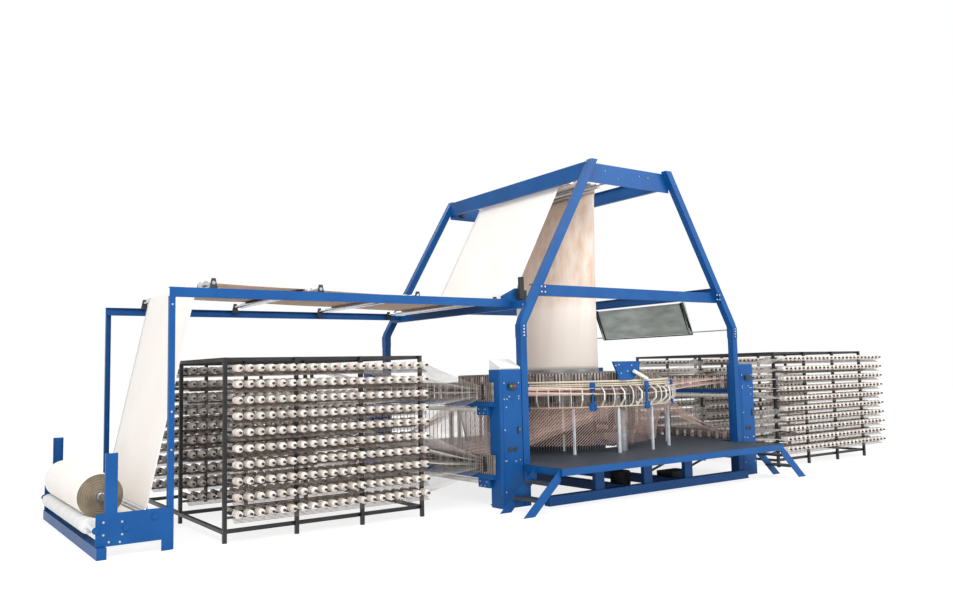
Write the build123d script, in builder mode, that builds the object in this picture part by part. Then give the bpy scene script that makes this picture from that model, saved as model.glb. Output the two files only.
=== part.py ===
from build123d import *
import math
import os

os.makedirs("parts", exist_ok=True)

# Circular loom for tape fabric, with its two bobbin creels, fabric gantry, bridge and winder.
# Millimetres. The origin is on the floor under the weaving head's axis, X runs towards the
# right creel, Y away from the working side, Z up. "near" is the -Y side, "left" the -X side.

# Gaps between pieces
weld_gap = 0.3          # butt joint between two bars of one welded frame
run_gap = 0.8           # between a roller or pulley and the fabric or belt on it
slide_gap = 0.3         # between two flat sliding faces
fit_gap = 0.05          # radial clearance of a shaft in its bearing

# Columns beside the weaving head
column_w = 350
column_d = 240
column_h = 1710
column_y = 1810         # outer face
column_round = 14
door_w = 260
door_h = 1420
door_t = 4
anchor_r = 11
anchor_flange = 130
anchor_plate = 12

# Gantry of bent square tube
post = 100
post_x = 2100
splice_z = 2200
bend_z = 2290
bend_r = 220
gantry_top_x = 750
gantry_top_z = 4610
splice_h = 170
splice_t = 8

# Ties, cross channels and the top frame
tie_h = 150
tie_flange = 60
tie_wall = 8
tie_z = 2670
tie_x = 1860
cross_left_z = 2500
cross_left_h = 100
cross_left_x = 2030     # outer face of the web
cross_right_z = 2750
cross_right_x = 1840
top_beam_z = 4360
top_beam_h = 220
top_beam_x = 840
top_plate_t = 14
top_plate_h = 280
top_hole_r = 14
top_holes = ((-450, 200), (-190, 110), (60, 60), (240, 190), (420, 190))

# Deck and base
deck_z = 520
deck_plate_t = 5
deck_frame_h = 85
deck_frame_w = 50
deck_front_y = 2540
deck_front_x = 2150
deck_back_y = 1840
deck_side_x = 2450
deck_side_y = 1500
deck_notch_x = 2030
deck_hole_r = 1000
base_y = 2000
base_x = 1950
base_beam_h = 120
base_beam_w = 100
upright_w = 160
upright_t = 60
upright_xs = (-1070, -170, 650)
step_y_near = 2500
step_y_far = 2050
step_top_x = 2120
step_foot_x = 2720
step_string_w = 110
step_string_t = 12
tread_count = 2
tread_d = 190
tread_t = 25

# Flats of round pieces
head_sides = 36         # large rings
round_sides = 24        # rollers, pulleys and shafts
bore_sides = 12         # journals and their bores

# Weaving head, from its axis outwards
centre_r = 60
shaft_r = 110
housing_foot_z = 420
housing_foot_r = 720
housing_foot_t = 30
housing_r = 540
housing_top_z = 1200
housing_flange_t = 30
stool = 120
stool_x = 500
centre_plate = 1300
centre_plate_t = 20
pulley_z = 290
pulley_h = 70
pulley_r = 330
motor_pulley_r = 110
motor_x = -180
motor_y = -1500
motor_r = 130
motor_foot_t = 30
motor_shaft_r = 27.5
belt_t = 8
belt_edge = 10
rotor_t = 30
rotor_gap = 40          # above the housing
arm_w = 60
pusher = 40
shuttle_count = 8
shuttle_r = 790
shuttle_z = 1480
shuttle_w = 90
shuttle_h = 90
shuttle_half = 19       # degrees that a shuttle covers on each side of its middle
weft_r = 38
weft_len = 200
weave_ring_r = 650
weave_ring_z = 1620
weave_ring_h = 70
reed_r = 900
reed_t = 25
reed_top_z = 1650
reed_gaps = 36
heald_sides = 24
heald_mid_r = 1150
heald_t = 12
heald_bar = 60
heald_z = 760
heald_h = 760
heald_rim = 50
heald_travel = 40
guide_w = 30
guide_h = 1120
ring_r = 1700
ring_w = 100
ring_z = 1150
ring_t = 22
ring_upper_z = 1440
hook_count = 36
hook_t = 16
hook_out = 95
rail = 28
pillar_r = 20
pillar_count = 16
comb_r = 1560
comb_t = 30
comb_h = 170
comb_gaps = 36
clamp_count = 12
clamp_start = -85
gate_x = -190
gate_w = 520
gate_h = 260
tank_r = 70
tank_x = -60
tank_in = 250           # from the guide rings' middle towards the axis

# Warp inlets, one on each side between the near and the far column
inlet_bar = 60
inlet_upper_z = 1250
inlet_lower_z = 350
inlet_comb_h = 240
inlet_comb_t = 40
inlet_gaps = 40
inlet_reach = 1700
tape_t = 4
comb_spread = 0.67
comb_band_w = 960
head_tape_r = 2000
head_tape_w = 300
head_tape_fan = 16      # how far the bands stand apart at the comb, for each degree at the head
head_tape_angles = (-75, -45, -15, 15, 45, 75)
head_tape_zs = (1190, 1240, 1330, 1400)

# Terminal box, push buttons and the control box
box_w = 400
box_d = 300
box_h = 190
station_z = 1500
station_w = 110
station_h = 70
station_t = 34
button_r = 15
button_pitch = 50
button_out = 8
button_travel = 5
control_w = 320
control_h = 130
control_front_h = 30
control_inset = 10

# Creels
creel_inner_x = {"left": 3500, "right": 3400}
creel_pitch_x = {"left": 790, "right": 850}
bobbin_cols = {"left": 20, "right": 25}
creel_posts = 4
creel_y = 1550
creel_post = 40
creel_h = 1900
creel_rail_z = 90
bobbin_rows = 10
bobbin_z = 300
bobbin_row_pitch = 165
bobbin_pitch = 118
bobbin_r = 47
bobbin_len = 170
bobbin_rail = 36

# Bridge for the fabric
bridge_y = 1480
bridge_h = 100
bridge_flange = 50
bridge_wall = 6
bridge_top_z = 2630
portal_x = 6420
portal_w = 60

# Rollers, with the fabric's path over them
fabric_w = 2000
fabric_t = 6
drum_end_angle = 97
tube_sides = 24
tube_steps = 4
tube_swell = 0.55       # how quickly the tube flattens towards the roller
roller_len = 2300
journal_r = 20
top_roller_r = 50
top_roller_z = 4440
top_roller_right_x = -56
top_roller_left_x = -615
nip_r = 75
nip_x = -1720
nip_z = 2715
bridge_roller_r = 35
bridge_roller_xs = (-2250, -3430, -4720)
end_roller_r = 45
end_roller_x = -5950
end_roller_z = 2695
low_guide_r = 35
low_guide_x = -6540
low_guide_z = 345
bearing_w = 90
bearing_t = 30
nip_side_y = 1250
nip_side_t = 10
motor_body = 60         # half the width of the small gear motors
block_top_w = 36
block_top_h = 48
block_foot_h = 80

# Winder
winder_left_x = -7090
winder_foot_x = -6390
winder_foot_w = 90
winder_y = 1490
winder_plate_t = 10
winder_z0 = 110
winder_z1 = 420
drum_r = 75
drum_x = -6950
drum_half = 140
drum_z = 270
roll_r = 220
roll_core_r = 40
roll_core_half = 1060
roll_shaft_r = 30
roll_lift = 380
lift_w = 110
lift_d = 50
lift_wall = 6
lift_top_z = 990
winder_end_x = 90
winder_end_y = 60          # how far the floor channel stands out past the plates
winder_bar = 60
winder_bar_z = 200

# Inspection light
panel_top_x = 1960
panel_top_z = 2730
panel_foot_x = 2150
panel_foot_z = 2230
panel_t = 30
panel_y0 = -900
panel_y1 = 1100
panel_rod_z = 2240
panel_rod = 20
panel_end_w = 40
panel_end_out = 15

sides = {"left": -1, "right": 1}
ends = {"near": -1, "far": 1}


def save(builder, name):
    """Labels a finished piece and writes it."""
    builder.part.label = name
    export_step(builder.part, f"parts/{name}.step")


def bar(x0, x1, y0, y1, z0, z1, mode=Mode.ADD):
    """A rectangular bar between two corners, in the open BuildPart."""
    with BuildSketch(Plane.XY.offset(min(z0, z1))) as profile:
        with Locations(((x0 + x1) / 2, (y0 + y1) / 2)):
            Rectangle(abs(x1 - x0), abs(y1 - y0))
    extrude(profile.sketch, amount=abs(z1 - z0), mode=mode)


def channel(start, along, open_to, length, height, flange, wall):
    """A channel from start, the middle of its web's outer face, with flanges towards open_to."""
    with BuildSketch(Plane(origin=start, x_dir=open_to, z_dir=along)) as profile:
        with Locations((flange / 2, 0)):
            Rectangle(flange, height)
        with Locations(((flange + wall) / 2, 0)):
            Rectangle(flange - wall, height - 2 * wall, mode=Mode.SUBTRACT)
    extrude(profile.sketch, amount=length)


def round_bar(radius, sides_count=round_sides):
    """Outline of a turned piece in the open sketch; its corners lie on the radius."""
    RegularPolygon(radius, sides_count)


def round_bore(radius, sides_count=round_sides):
    """Bore for a turned piece in the open sketch; its flats keep the fit clearance."""
    RegularPolygon(radius + fit_gap, sides_count, major_radius=False, mode=Mode.SUBTRACT)


def upright_plane(y):
    """The XZ plane at a given y, seen from the near side; extrusion goes towards -Y."""
    return Plane.XZ.offset(-y)


def axle(x, z, radius, y0, y1, sides_count=round_sides):
    """A round bar along Y between y0 and y1."""
    with BuildSketch(upright_plane(y1)) as profile:
        with Locations((x, z)):
            round_bar(radius, sides_count)
    extrude(profile.sketch, amount=y1 - y0)


def flat_ring(radius, width, z, height, sides_count=head_sides):
    """A ring of straight flats; radius is to the middle of its width, measured on the flats."""
    with BuildSketch(Plane.XY.offset(z)) as profile:
        RegularPolygon(radius + width / 2, sides_count, major_radius=False)
        RegularPolygon(radius - width / 2, sides_count, major_radius=False, mode=Mode.SUBTRACT)
    extrude(profile.sketch, amount=height)


# The four columns: folded sheet housings with a door and a foot flange for the floor anchor
column_x = post_x + post / 2 + column_w / 2
anchor_y = column_y - column_d - anchor_flange / 2
with BuildPart() as columns:
    for side in sides.values():
        for end in ends.values():
            with BuildSketch() as shell:
                with Locations((side * column_x, end * (column_y - column_d / 2))):
                    Rectangle(column_w, column_d)
                chamfer(shell.vertices(), length=column_round)
            extrude(amount=column_h)
            door_plane = Plane(origin=(side * column_x, end * column_y, column_h / 2 + 60),
                               x_dir=(1, 0, 0), z_dir=(0, end, 0))
            with BuildSketch(door_plane):
                Rectangle(door_w, door_h)
            extrude(amount=door_t)
            with BuildSketch():
                with Locations((side * column_x, end * anchor_y)):
                    Rectangle(column_w / 2, anchor_flange)
                    Circle(anchor_r, mode=Mode.SUBTRACT)
            extrude(amount=anchor_plate)
save(columns, "columns")

# Gantry: a straight post beside each column, and a leg bent inwards to the top frame
post_y = column_y - post / 2
with BuildPart() as gantry_posts:
    for side in sides.values():
        for end in ends.values():
            bar(side * (post_x - post / 2), side * (post_x + post / 2),
                end * (post_y - post / 2), end * (post_y + post / 2), 0, splice_z)
save(gantry_posts, "gantry_posts")

lean = (post_x - gantry_top_x) / (gantry_top_z - bend_z)
leg_end_z = gantry_top_z + post
leg_end_x = gantry_top_x - (leg_end_z - gantry_top_z) * lean
with BuildPart() as gantry_legs:
    for side in sides.values():
        for end in ends.values():
            with BuildSketch(upright_plane(end * post_y)):
                with BuildLine():
                    FilletPolyline((side * post_x, splice_z), (side * post_x, bend_z),
                                   (side * leg_end_x, leg_end_z), radius=bend_r)
                trace(line_width=post)
            extrude(amount=post / 2, both=True)
            for face in (-1, 1):
                plate_y = end * post_y + face * post / 2
                bar(side * post_x - post / 2, side * post_x + post / 2, plate_y, plate_y + face * splice_t,
                    splice_z - splice_h / 2, splice_z + splice_h / 2)
    split(bisect_by=Plane.XY.offset(gantry_top_z), keep=Keep.BOTTOM)
save(gantry_legs, "gantry_legs")

# Channels of the gantry: ties between left and right legs, cross channels between near and far
leg_inner_y = post_y - post / 2
tie_inner_y = leg_inner_y - tie_flange - weld_gap
with BuildPart() as gantry_channels:
    for end in ends.values():
        channel((-tie_x, end * leg_inner_y, tie_z + tie_h / 2), (1, 0, 0), (0, -end, 0),
                2 * tie_x, tie_h, tie_flange, tie_wall)
    channel((-cross_left_x, -leg_inner_y, cross_left_z + cross_left_h / 2), (0, 1, 0), (1, 0, 0),
            2 * leg_inner_y, cross_left_h, tie_flange, tie_wall)
    channel((cross_right_x, -tie_inner_y, cross_right_z + tie_h / 2), (0, 1, 0), (-1, 0, 0),
            2 * tie_inner_y, tie_h, tie_flange, tie_wall)
save(gantry_channels, "gantry_channels")

# Top frame: two drilled plates on the legs' inner faces and two channels between the plates
top_plate_z = top_beam_z + top_beam_h - top_plate_h
beam_end_y = leg_inner_y - top_plate_t - weld_gap
with BuildPart() as top_frame:
    for end in ends.values():
        with BuildSketch(upright_plane(end * (leg_inner_y - top_plate_t / 2))):
            with Locations((0, top_plate_z + top_plate_h / 2)):
                Rectangle(2 * top_beam_x, top_plate_h)
            with Locations(*((x, top_plate_z + z) for x, z in top_holes)):
                RegularPolygon(top_hole_r, 8, mode=Mode.SUBTRACT)
        extrude(amount=top_plate_t / 2, both=True)
    for side in sides.values():
        channel((side * top_beam_x, -beam_end_y, top_beam_z + top_beam_h / 2), (0, 1, 0), (-side, 0, 0),
                2 * beam_end_y, top_beam_h, tie_flange, tie_wall)
save(top_frame, "top_frame")

# Base frame: floor beams, uprights under the deck edges, centre plate and housing stools
deck_under_z = deck_z - deck_plate_t - deck_frame_h
with BuildPart() as base_frame:
    for end in ends.values():
        bar(-base_x, base_x, end * (base_y - base_beam_w / 2), end * (base_y + base_beam_w / 2), 0, base_beam_h)
        for x in upright_xs:
            bar(x - upright_w / 2, x + upright_w / 2, end * (base_y - upright_t / 2), end * (base_y + upright_t / 2),
                base_beam_h + weld_gap, deck_under_z)
    for side in sides.values():
        bar(side * stool_x - stool / 2, side * stool_x + stool / 2,
            -(base_y - base_beam_w / 2 - weld_gap), base_y - base_beam_w / 2 - weld_gap, 0, base_beam_h)
        for end in ends.values():
            bar(side * stool_x - stool / 2, side * stool_x + stool / 2, end * stool_x - stool / 2,
                end * stool_x + stool / 2, base_beam_h + centre_plate_t + 2 * weld_gap, housing_foot_z)
    bar(-centre_plate / 2, centre_plate / 2, -centre_plate / 2, centre_plate / 2,
        base_beam_h + weld_gap, base_beam_h + centre_plate_t + weld_gap)
save(base_frame, "base_frame")

# Deck: one half on each working side, a frame of bars with a plate on top
with BuildPart() as deck_plates:
    for end in ends.values():
        with BuildSketch(Plane.XY.offset(deck_z - deck_plate_t)):
            with BuildLine():
                Polyline((-deck_side_x, end), (-deck_side_x, end * deck_side_y),
                         (-deck_notch_x, end * deck_side_y), (-deck_notch_x, end * deck_back_y),
                         (-deck_front_x, end * deck_back_y), (-deck_front_x, end * deck_front_y),
                         (deck_front_x, end * deck_front_y), (deck_front_x, end * deck_back_y),
                         (deck_notch_x, end * deck_back_y), (deck_notch_x, end * deck_side_y),
                         (deck_side_x, end * deck_side_y), (deck_side_x, end), close=True)
            make_face()
            RegularPolygon(deck_hole_r, head_sides, mode=Mode.SUBTRACT)
        extrude(amount=deck_plate_t)
save(deck_plates, "deck_plates")

inner = deck_frame_w
deck_top_z = deck_z - deck_plate_t
with BuildPart() as deck_frame:
    for end in ends.values():
        front = end * deck_front_y
        back = end * deck_back_y
        bar(-deck_front_x, deck_front_x, front, front - end * inner, deck_under_z, deck_top_z)
        for side in sides.values():
            bar(side * deck_front_x, side * (deck_front_x - inner), front - end * (inner + weld_gap), back,
                deck_under_z, deck_top_z)
        for x in upright_xs:
            bar(x - inner / 2, x + inner / 2, front - end * (inner + weld_gap),
                end * (deck_side_y + inner + weld_gap), deck_under_z, deck_top_z)
        bar(-deck_notch_x, deck_notch_x, end * (deck_side_y + inner), end * deck_side_y,
            deck_under_z, deck_top_z)
    for side in sides.values():
        bar(side * deck_side_x, side * (deck_side_x - inner), -deck_side_y, deck_side_y,
            deck_under_z, deck_top_z)
        for end in ends.values():
            bar(side * deck_hole_r, side * (deck_side_x - inner - weld_gap), end * (inner + 20), end * 20,
                deck_under_z, deck_top_z)
save(deck_frame, "deck_frame")

# Steps at both ends of each deck: two slanted stringers each, and the treads between them
slope = (step_foot_x - deck_front_x) / deck_top_z
string_run = step_string_w * math.hypot(1, slope)
with BuildPart() as steps:
    for side in sides.values():
        for end in ends.values():
            for y in (step_y_near, step_y_far):
                with BuildSketch(upright_plane(end * y)):
                    with BuildLine():
                        Polyline((side * deck_front_x, deck_top_z),
                                 (side * step_foot_x, 0),
                                 (side * (step_foot_x - string_run), 0),
                                 (side * deck_front_x, deck_top_z - string_run / slope), close=True)
                    make_face()
                extrude(amount=step_string_t / 2, both=True)
save(steps, "steps")

tread_y0 = step_y_far + step_string_t / 2 + weld_gap
tread_y1 = step_y_near - step_string_t / 2 - weld_gap
with BuildPart() as treads:
    for side in sides.values():
        for end in ends.values():
            for k in range(tread_count):
                z = deck_top_z * (k + 1) / (tread_count + 1)
                x = step_foot_x - slope * z - string_run / 2
                bar(side * x - tread_d / 2, side * x + tread_d / 2, end * tread_y0, end * tread_y1,
                    z - tread_t / 2, z + tread_t / 2)
save(treads, "step_treads")

# Fixed centre column, cam housing and the rotor that carries the shuttles
plate_top_z = base_beam_h + centre_plate_t + weld_gap
rotor_z = housing_top_z + rotor_gap
column_top_z = weave_ring_z - 40
with BuildPart() as centre_column:
    with BuildSketch(Plane.XY.offset(plate_top_z)):
        round_bar(centre_r, bore_sides)
    extrude(amount=column_top_z - plate_top_z)
save(centre_column, "centre_column")

flange_r = reed_r + reed_t
with BuildPart() as cam_housing:
    for radius, z, height in ((housing_foot_r, housing_foot_z, housing_foot_t),
                              (housing_r, housing_foot_z + housing_foot_t,
                               housing_top_z - housing_flange_t - housing_foot_z - housing_foot_t),
                              (flange_r, housing_top_z - housing_flange_t, housing_flange_t)):
        with BuildSketch(Plane.XY.offset(z)):
            round_bar(radius, head_sides)
            round_bore(shaft_r)
        extrude(amount=height)
save(cam_housing, "cam_housing")

with BuildPart() as main_shaft:
    with BuildSketch(Plane.XY.offset(pulley_z)):
        round_bar(shaft_r)
        round_bore(centre_r, bore_sides)
    extrude(amount=rotor_z + rotor_t - pulley_z)
save(main_shaft, "main_shaft")

with BuildPart() as drive_pulley:
    with BuildSketch(Plane.XY.offset(pulley_z)):
        round_bar(pulley_r, head_sides)
        RegularPolygon(shaft_r, round_sides, mode=Mode.SUBTRACT)
    extrude(amount=pulley_h)
save(drive_pulley, "drive_pulley")

with BuildPart() as shuttle_rotor:
    with BuildSketch(Plane.XY.offset(rotor_z)):
        round_bar(2 * shaft_r)
        with PolarLocations(shuttle_r / 2, shuttle_count):
            Rectangle(shuttle_r + pusher, arm_w)
        RegularPolygon(shaft_r, round_sides, mode=Mode.SUBTRACT)
    extrude(amount=rotor_t)
    with BuildSketch(Plane.XY.offset(rotor_z)):
        with PolarLocations(shuttle_r, shuttle_count):
            Rectangle(pusher, arm_w)
    extrude(amount=shuttle_z - rotor_z)
save(shuttle_rotor, "shuttle_rotor")

with BuildPart() as shuttle:
    with BuildSketch(Plane.XY.offset(shuttle_z)):
        with BuildLine():
            tip = shuttle_half / 180 * math.pi
            tip_point = (shuttle_r * math.cos(tip), shuttle_r * math.sin(tip))
            tip_mirror = (tip_point[0], -tip_point[1])
            ThreePointArc(tip_mirror, (shuttle_r + shuttle_w / 2, 0), tip_point)
            ThreePointArc(tip_point, (shuttle_r - shuttle_w / 2, 0), tip_mirror)
        make_face()
    extrude(amount=shuttle_h)
with BuildPart() as shuttles:
    with PolarLocations(0, shuttle_count):
        add(shuttle.part)
save(shuttles, "shuttles")

with BuildPart() as weft_bobbins:
    for k in range(shuttle_count):
        turn = 2 * math.pi * k / shuttle_count
        with BuildSketch(Plane(origin=(shuttle_r * math.cos(turn), shuttle_r * math.sin(turn),
                                       shuttle_z + shuttle_h + weft_r),
                               x_dir=(0, 0, 1), z_dir=(-math.sin(turn), math.cos(turn), 0))):
            RegularPolygon(weft_r, 8, major_radius=False, rotation=22.5)
        extrude(amount=weft_len / 2, both=True)
save(weft_bobbins, "weft_bobbins")

with BuildPart() as weaving_ring:
    flat_ring(weave_ring_r - reed_t / 2, reed_t, weave_ring_z, weave_ring_h)
    with BuildSketch(Plane.XY.offset(column_top_z)):
        round_bar(2 * centre_r, bore_sides)
        with PolarLocations((weave_ring_r - reed_t / 2) / 2, 6):
            Rectangle(weave_ring_r - reed_t / 2, arm_w)
    extrude(amount=weave_ring_z + reed_t - column_top_z)
save(weaving_ring, "weaving_ring")

with BuildPart() as reed_ring:
    flat_ring(reed_r, reed_t, housing_top_z, reed_top_z - housing_top_z)
    with BuildSketch(Plane.XY.offset(housing_top_z + 200)):
        with PolarLocations(reed_r, reed_gaps, start_angle=180 / head_sides):
            Rectangle(4 * reed_t, 2 * math.pi * reed_r / reed_gaps / 2)
    extrude(amount=reed_top_z - housing_top_z - 240, mode=Mode.SUBTRACT)
save(reed_ring, "reed_ring")

# Heald frames: two rings of uprights that slide on square guides and open the shed
for name, radius in (("heald_frame_outer", heald_mid_r + guide_w / 2 + slide_gap + heald_t / 2),
                     ("heald_frame_inner", heald_mid_r - guide_w / 2 - slide_gap - heald_t / 2)):
    with BuildPart() as heald_frame:
        flat_ring(radius, heald_t, heald_z, heald_h, heald_sides)
        with BuildSketch(Plane.XY.offset(heald_z + heald_rim)):
            with PolarLocations(radius, heald_sides, start_angle=180 / heald_sides):
                Rectangle(6 * heald_t, 2 * radius * math.tan(math.pi / heald_sides) - heald_bar)
        extrude(amount=heald_h - 2 * heald_rim, mode=Mode.SUBTRACT)
    save(heald_frame, name)

# Guide rings on pillars, with their rail, hooks, clamps and comb; the inner pillars guide the healds
rail_z = ring_upper_z + 60
with BuildPart() as guide_rings:
    flat_ring(ring_r, ring_w, ring_z, ring_t)
    flat_ring(ring_r, ring_w, ring_upper_z, ring_t)
    flat_ring(ring_r, rail, rail_z, rail)
    with BuildSketch(Plane.XY.offset(ring_upper_z + ring_t)):
        with PolarLocations(ring_r, clamp_count, start_angle=180 / head_sides):
            Rectangle(rail, rail)
    extrude(amount=rail_z - ring_upper_z - ring_t)
save(guide_rings, "guide_rings")

with BuildPart() as head_pillars:
    with BuildSketch(Plane.XY.offset(deck_z)):
        with PolarLocations(ring_r, pillar_count, start_angle=180 / pillar_count):
            RegularPolygon(pillar_r, 6, major_radius=False)
    extrude(amount=ring_z - deck_z)
    with BuildSketch(Plane.XY.offset(deck_z)):
        with PolarLocations(heald_mid_r, 8, start_angle=180 / heald_sides):
            Rectangle(guide_w, guide_w)
    extrude(amount=guide_h)
save(head_pillars, "head_pillars")

hook_in = ring_r + 20
hook_low_z = ring_z + ring_t
with BuildPart() as hook:
    with BuildSketch(Plane.XZ):
        with BuildLine():
            Polyline((hook_in - hook_t, ring_upper_z), (hook_in, ring_upper_z),
                     (hook_in + hook_out, ring_upper_z - 70), (hook_in + hook_out, hook_low_z + 90),
                     (hook_in, hook_low_z), (hook_in - 2 * hook_t, hook_low_z),
                     (hook_in + hook_out - hook_t, hook_low_z + 100),
                     (hook_in + hook_out - hook_t, ring_upper_z - 78), close=True)
        make_face()
    extrude(amount=hook_t / 2, both=True)
with BuildPart() as hooks:
    with PolarLocations(0, hook_count):
        add(hook.part)
save(hooks, "tension_hooks")

with BuildPart() as comb_ring:
    flat_ring(comb_r, comb_t, ring_upper_z, comb_h + ring_t)
    with BuildSketch(Plane.XY.offset(ring_upper_z + 2 * ring_t)):
        with PolarLocations(comb_r, comb_gaps, start_angle=180 / head_sides):
            Rectangle(4 * comb_t, 2 * math.pi * comb_r / comb_gaps / 2)
    extrude(amount=comb_h - 2 * ring_t, mode=Mode.SUBTRACT)
    with BuildSketch(Plane.XY.offset(ring_upper_z)):
        arm_in = comb_r + comb_t / 2
        arm_out = ring_r - ring_w / 2 - weld_gap
        with PolarLocations((arm_in + arm_out) / 2, clamp_count, start_angle=180 / head_sides):
            Rectangle(arm_out - arm_in, 2 * comb_t)
    extrude(amount=ring_t)
save(comb_ring, "comb_ring")

gate_z = rail_z + rail
with BuildPart() as ring_brackets:
    with BuildSketch(Plane.XY.offset(ring_z - 30)):
        with PolarLocations(ring_r + ring_w / 2 + hook_t / 2, clamp_count, start_angle=clamp_start):
            Rectangle(hook_t, 2 * hook_t)
    extrude(amount=ring_upper_z + ring_t - ring_z + 60)
    with BuildSketch(upright_plane(rail / 2 - ring_r)):
        with BuildLine():
            Polyline((gate_x - gate_w / 4, gate_z), (gate_x + gate_w / 4, gate_z),
                     (gate_x + gate_w / 2, gate_z + gate_h / 2), (gate_x + gate_w / 2, gate_z + gate_h),
                     (gate_x - gate_w / 2, gate_z + gate_h), close=True)
        make_face()
    extrude(amount=rail)
save(ring_brackets, "ring_brackets")

# Drive under the deck: motor, pulley, belt and the terminal box
motor_top_z = pulley_z - 40
with BuildPart() as motors:
    with BuildSketch():
        with Locations((motor_x, motor_y)):
            Rectangle(2.2 * motor_r, 2.2 * motor_r)
            round_bore(motor_shaft_r, bore_sides)
    extrude(amount=motor_foot_t)
    with BuildSketch(Plane.XY.offset(motor_foot_t)):
        with Locations((motor_x, motor_y)):
            round_bar(motor_r)
            round_bore(motor_shaft_r, bore_sides)
    extrude(amount=motor_top_z - motor_foot_t)
    nip_motor_y = -nip_side_y - nip_side_t
    with BuildSketch(upright_plane(nip_motor_y)):
        with Locations((nip_x, nip_z)):
            Rectangle(2 * motor_body, 2 * motor_body)
    extrude(amount=motor_body * 1.5)
    with BuildSketch(Plane.XY.offset(nip_z + motor_body)):
        with Locations((nip_x, nip_motor_y - motor_body * 0.75)):
            round_bar(motor_body * 0.7, bore_sides)
    extrude(amount=motor_body * 3)
    with BuildSketch(upright_plane(winder_y + 4 * motor_body)):
        with Locations((drum_x + drum_half, drum_z)):
            Rectangle(2.4 * motor_body, 2 * motor_body)
    extrude(amount=4 * motor_body)
save(motors, "motors")

with BuildPart() as motor_pulley:
    with BuildSketch(Plane.XY.offset(pulley_z)):
        with Locations((motor_x, motor_y)):
            round_bar(motor_pulley_r)
    extrude(amount=pulley_h)
    with BuildSketch(Plane.XY.offset(2 * motor_foot_t)):
        with Locations((motor_x, motor_y)):
            round_bar(motor_shaft_r, bore_sides)
    extrude(amount=pulley_z - 2 * motor_foot_t)
save(motor_pulley, "motor_pulley")

span = math.hypot(motor_x, motor_y)
span_angle = math.atan2(motor_y, motor_x)
belt_turn = math.acos((pulley_r - motor_pulley_r) / span)


def belt_outline(gap):
    """The belt's line round both pulleys at a distance from their rims."""
    big = pulley_r + gap
    small = motor_pulley_r + gap
    spots = []
    for turn in (belt_turn, -belt_turn):
        across = (math.cos(span_angle + turn), math.sin(span_angle + turn))
        spots.append(((big * across[0], big * across[1]),
                      (motor_x + small * across[0], motor_y + small * across[1])))
    (big_a, small_a), (big_b, small_b) = spots
    back = (-big * math.cos(span_angle), -big * math.sin(span_angle))
    nose = (motor_x + small * math.cos(span_angle), motor_y + small * math.sin(span_angle))
    Line(big_a, small_a)
    ThreePointArc(small_a, nose, small_b)
    Line(small_b, big_b)
    ThreePointArc(big_b, back, big_a)


with BuildPart() as drive_belt:
    with BuildSketch(Plane.XY.offset(pulley_z + belt_edge)):
        with BuildLine():
            belt_outline(run_gap + belt_t)
        make_face()
        with BuildLine(mode=Mode.PRIVATE) as inside:
            belt_outline(run_gap)
        make_face(inside.line.edges(), mode=Mode.SUBTRACT)
    extrude(amount=pulley_h - 2 * belt_edge)
save(drive_belt, "drive_belt")

# Terminal box on the floor, and a push-button station on each near column's door
box_x = stool_x + stool / 2 + box_w / 2
box_y = -(base_y - base_beam_w / 2) + box_d
door_y = column_y + door_t
with BuildPart() as electric_boxes:
    with BuildSketch():
        with Locations((box_x, box_y)):
            Rectangle(box_w, box_d)
    extrude(amount=box_h)
    for side in sides.values():
        with BuildSketch(upright_plane(-door_y)):
            with Locations((side * column_x, station_z)):
                Rectangle(station_w, station_h)
                if side < 0:
                    with Locations((-button_pitch / 2, 0), (button_pitch / 2, 0)):
                        round_bore(button_r)
        extrude(amount=station_t)
save(electric_boxes, "electric_boxes")

for name, offset in (("start_button", -button_pitch / 2), ("stop_button", button_pitch / 2)):
    with BuildPart() as button:
        axle(offset - column_x, station_z, button_r, -(door_y + station_t + button_out),
             -(door_y + button_travel + 1))
    save(button, name)

with BuildPart() as oil_tank:
    with BuildSketch(Plane.XY.offset(deck_z)):
        with Locations((tank_x, tank_in - ring_r)):
            round_bar(tank_r, bore_sides)
    extrude(amount=ring_z - deck_z - 60)
save(oil_tank, "oil_tank")

# Controls: a sloped box on the near left column
control_y0 = control_inset - column_y
control_y1 = column_d - column_y - control_inset
with BuildPart() as control_box:
    with BuildSketch(Plane.YZ.offset(-column_x - control_w / 2)):
        with BuildLine():
            Polyline((control_y0, column_h), (control_y1, column_h), (control_y1, column_h + control_h),
                     (control_y0, column_h + control_front_h), close=True)
        make_face()
    extrude(amount=control_w)
save(control_box, "control_box")

# Warp inlets: an upper and a lower bar across the columns' outer faces, each with a tape comb
inlet_x = column_x + column_w / 2
with BuildPart() as warp_inlets:
    for side in sides.values():
        for z in (inlet_upper_z, inlet_lower_z):
            bar(side * inlet_x, side * (inlet_x + inlet_bar), -inlet_reach, inlet_reach, z, z + inlet_bar)
save(warp_inlets, "warp_inlets")

comb_x = inlet_x + (inlet_bar - inlet_comb_t) / 2
comb_pitch = 2 * inlet_reach / inlet_gaps
with BuildPart() as inlet_combs:
    for side in sides.values():
        for z in (inlet_upper_z + inlet_bar, inlet_lower_z + inlet_bar):
            with BuildSketch(Plane.YZ.offset(min(side * comb_x, side * (comb_x + inlet_comb_t)))):
                with Locations((0, z + inlet_comb_h / 2)):
                    Rectangle(2 * inlet_reach, inlet_comb_h)
                    with GridLocations(2 * comb_pitch, 0, inlet_gaps // 2 - 1, 1):
                        Rectangle(comb_pitch, inlet_comb_h - 2 * tread_t, mode=Mode.SUBTRACT)
            extrude(amount=inlet_comb_t)
save(inlet_combs, "inlet_combs")

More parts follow.
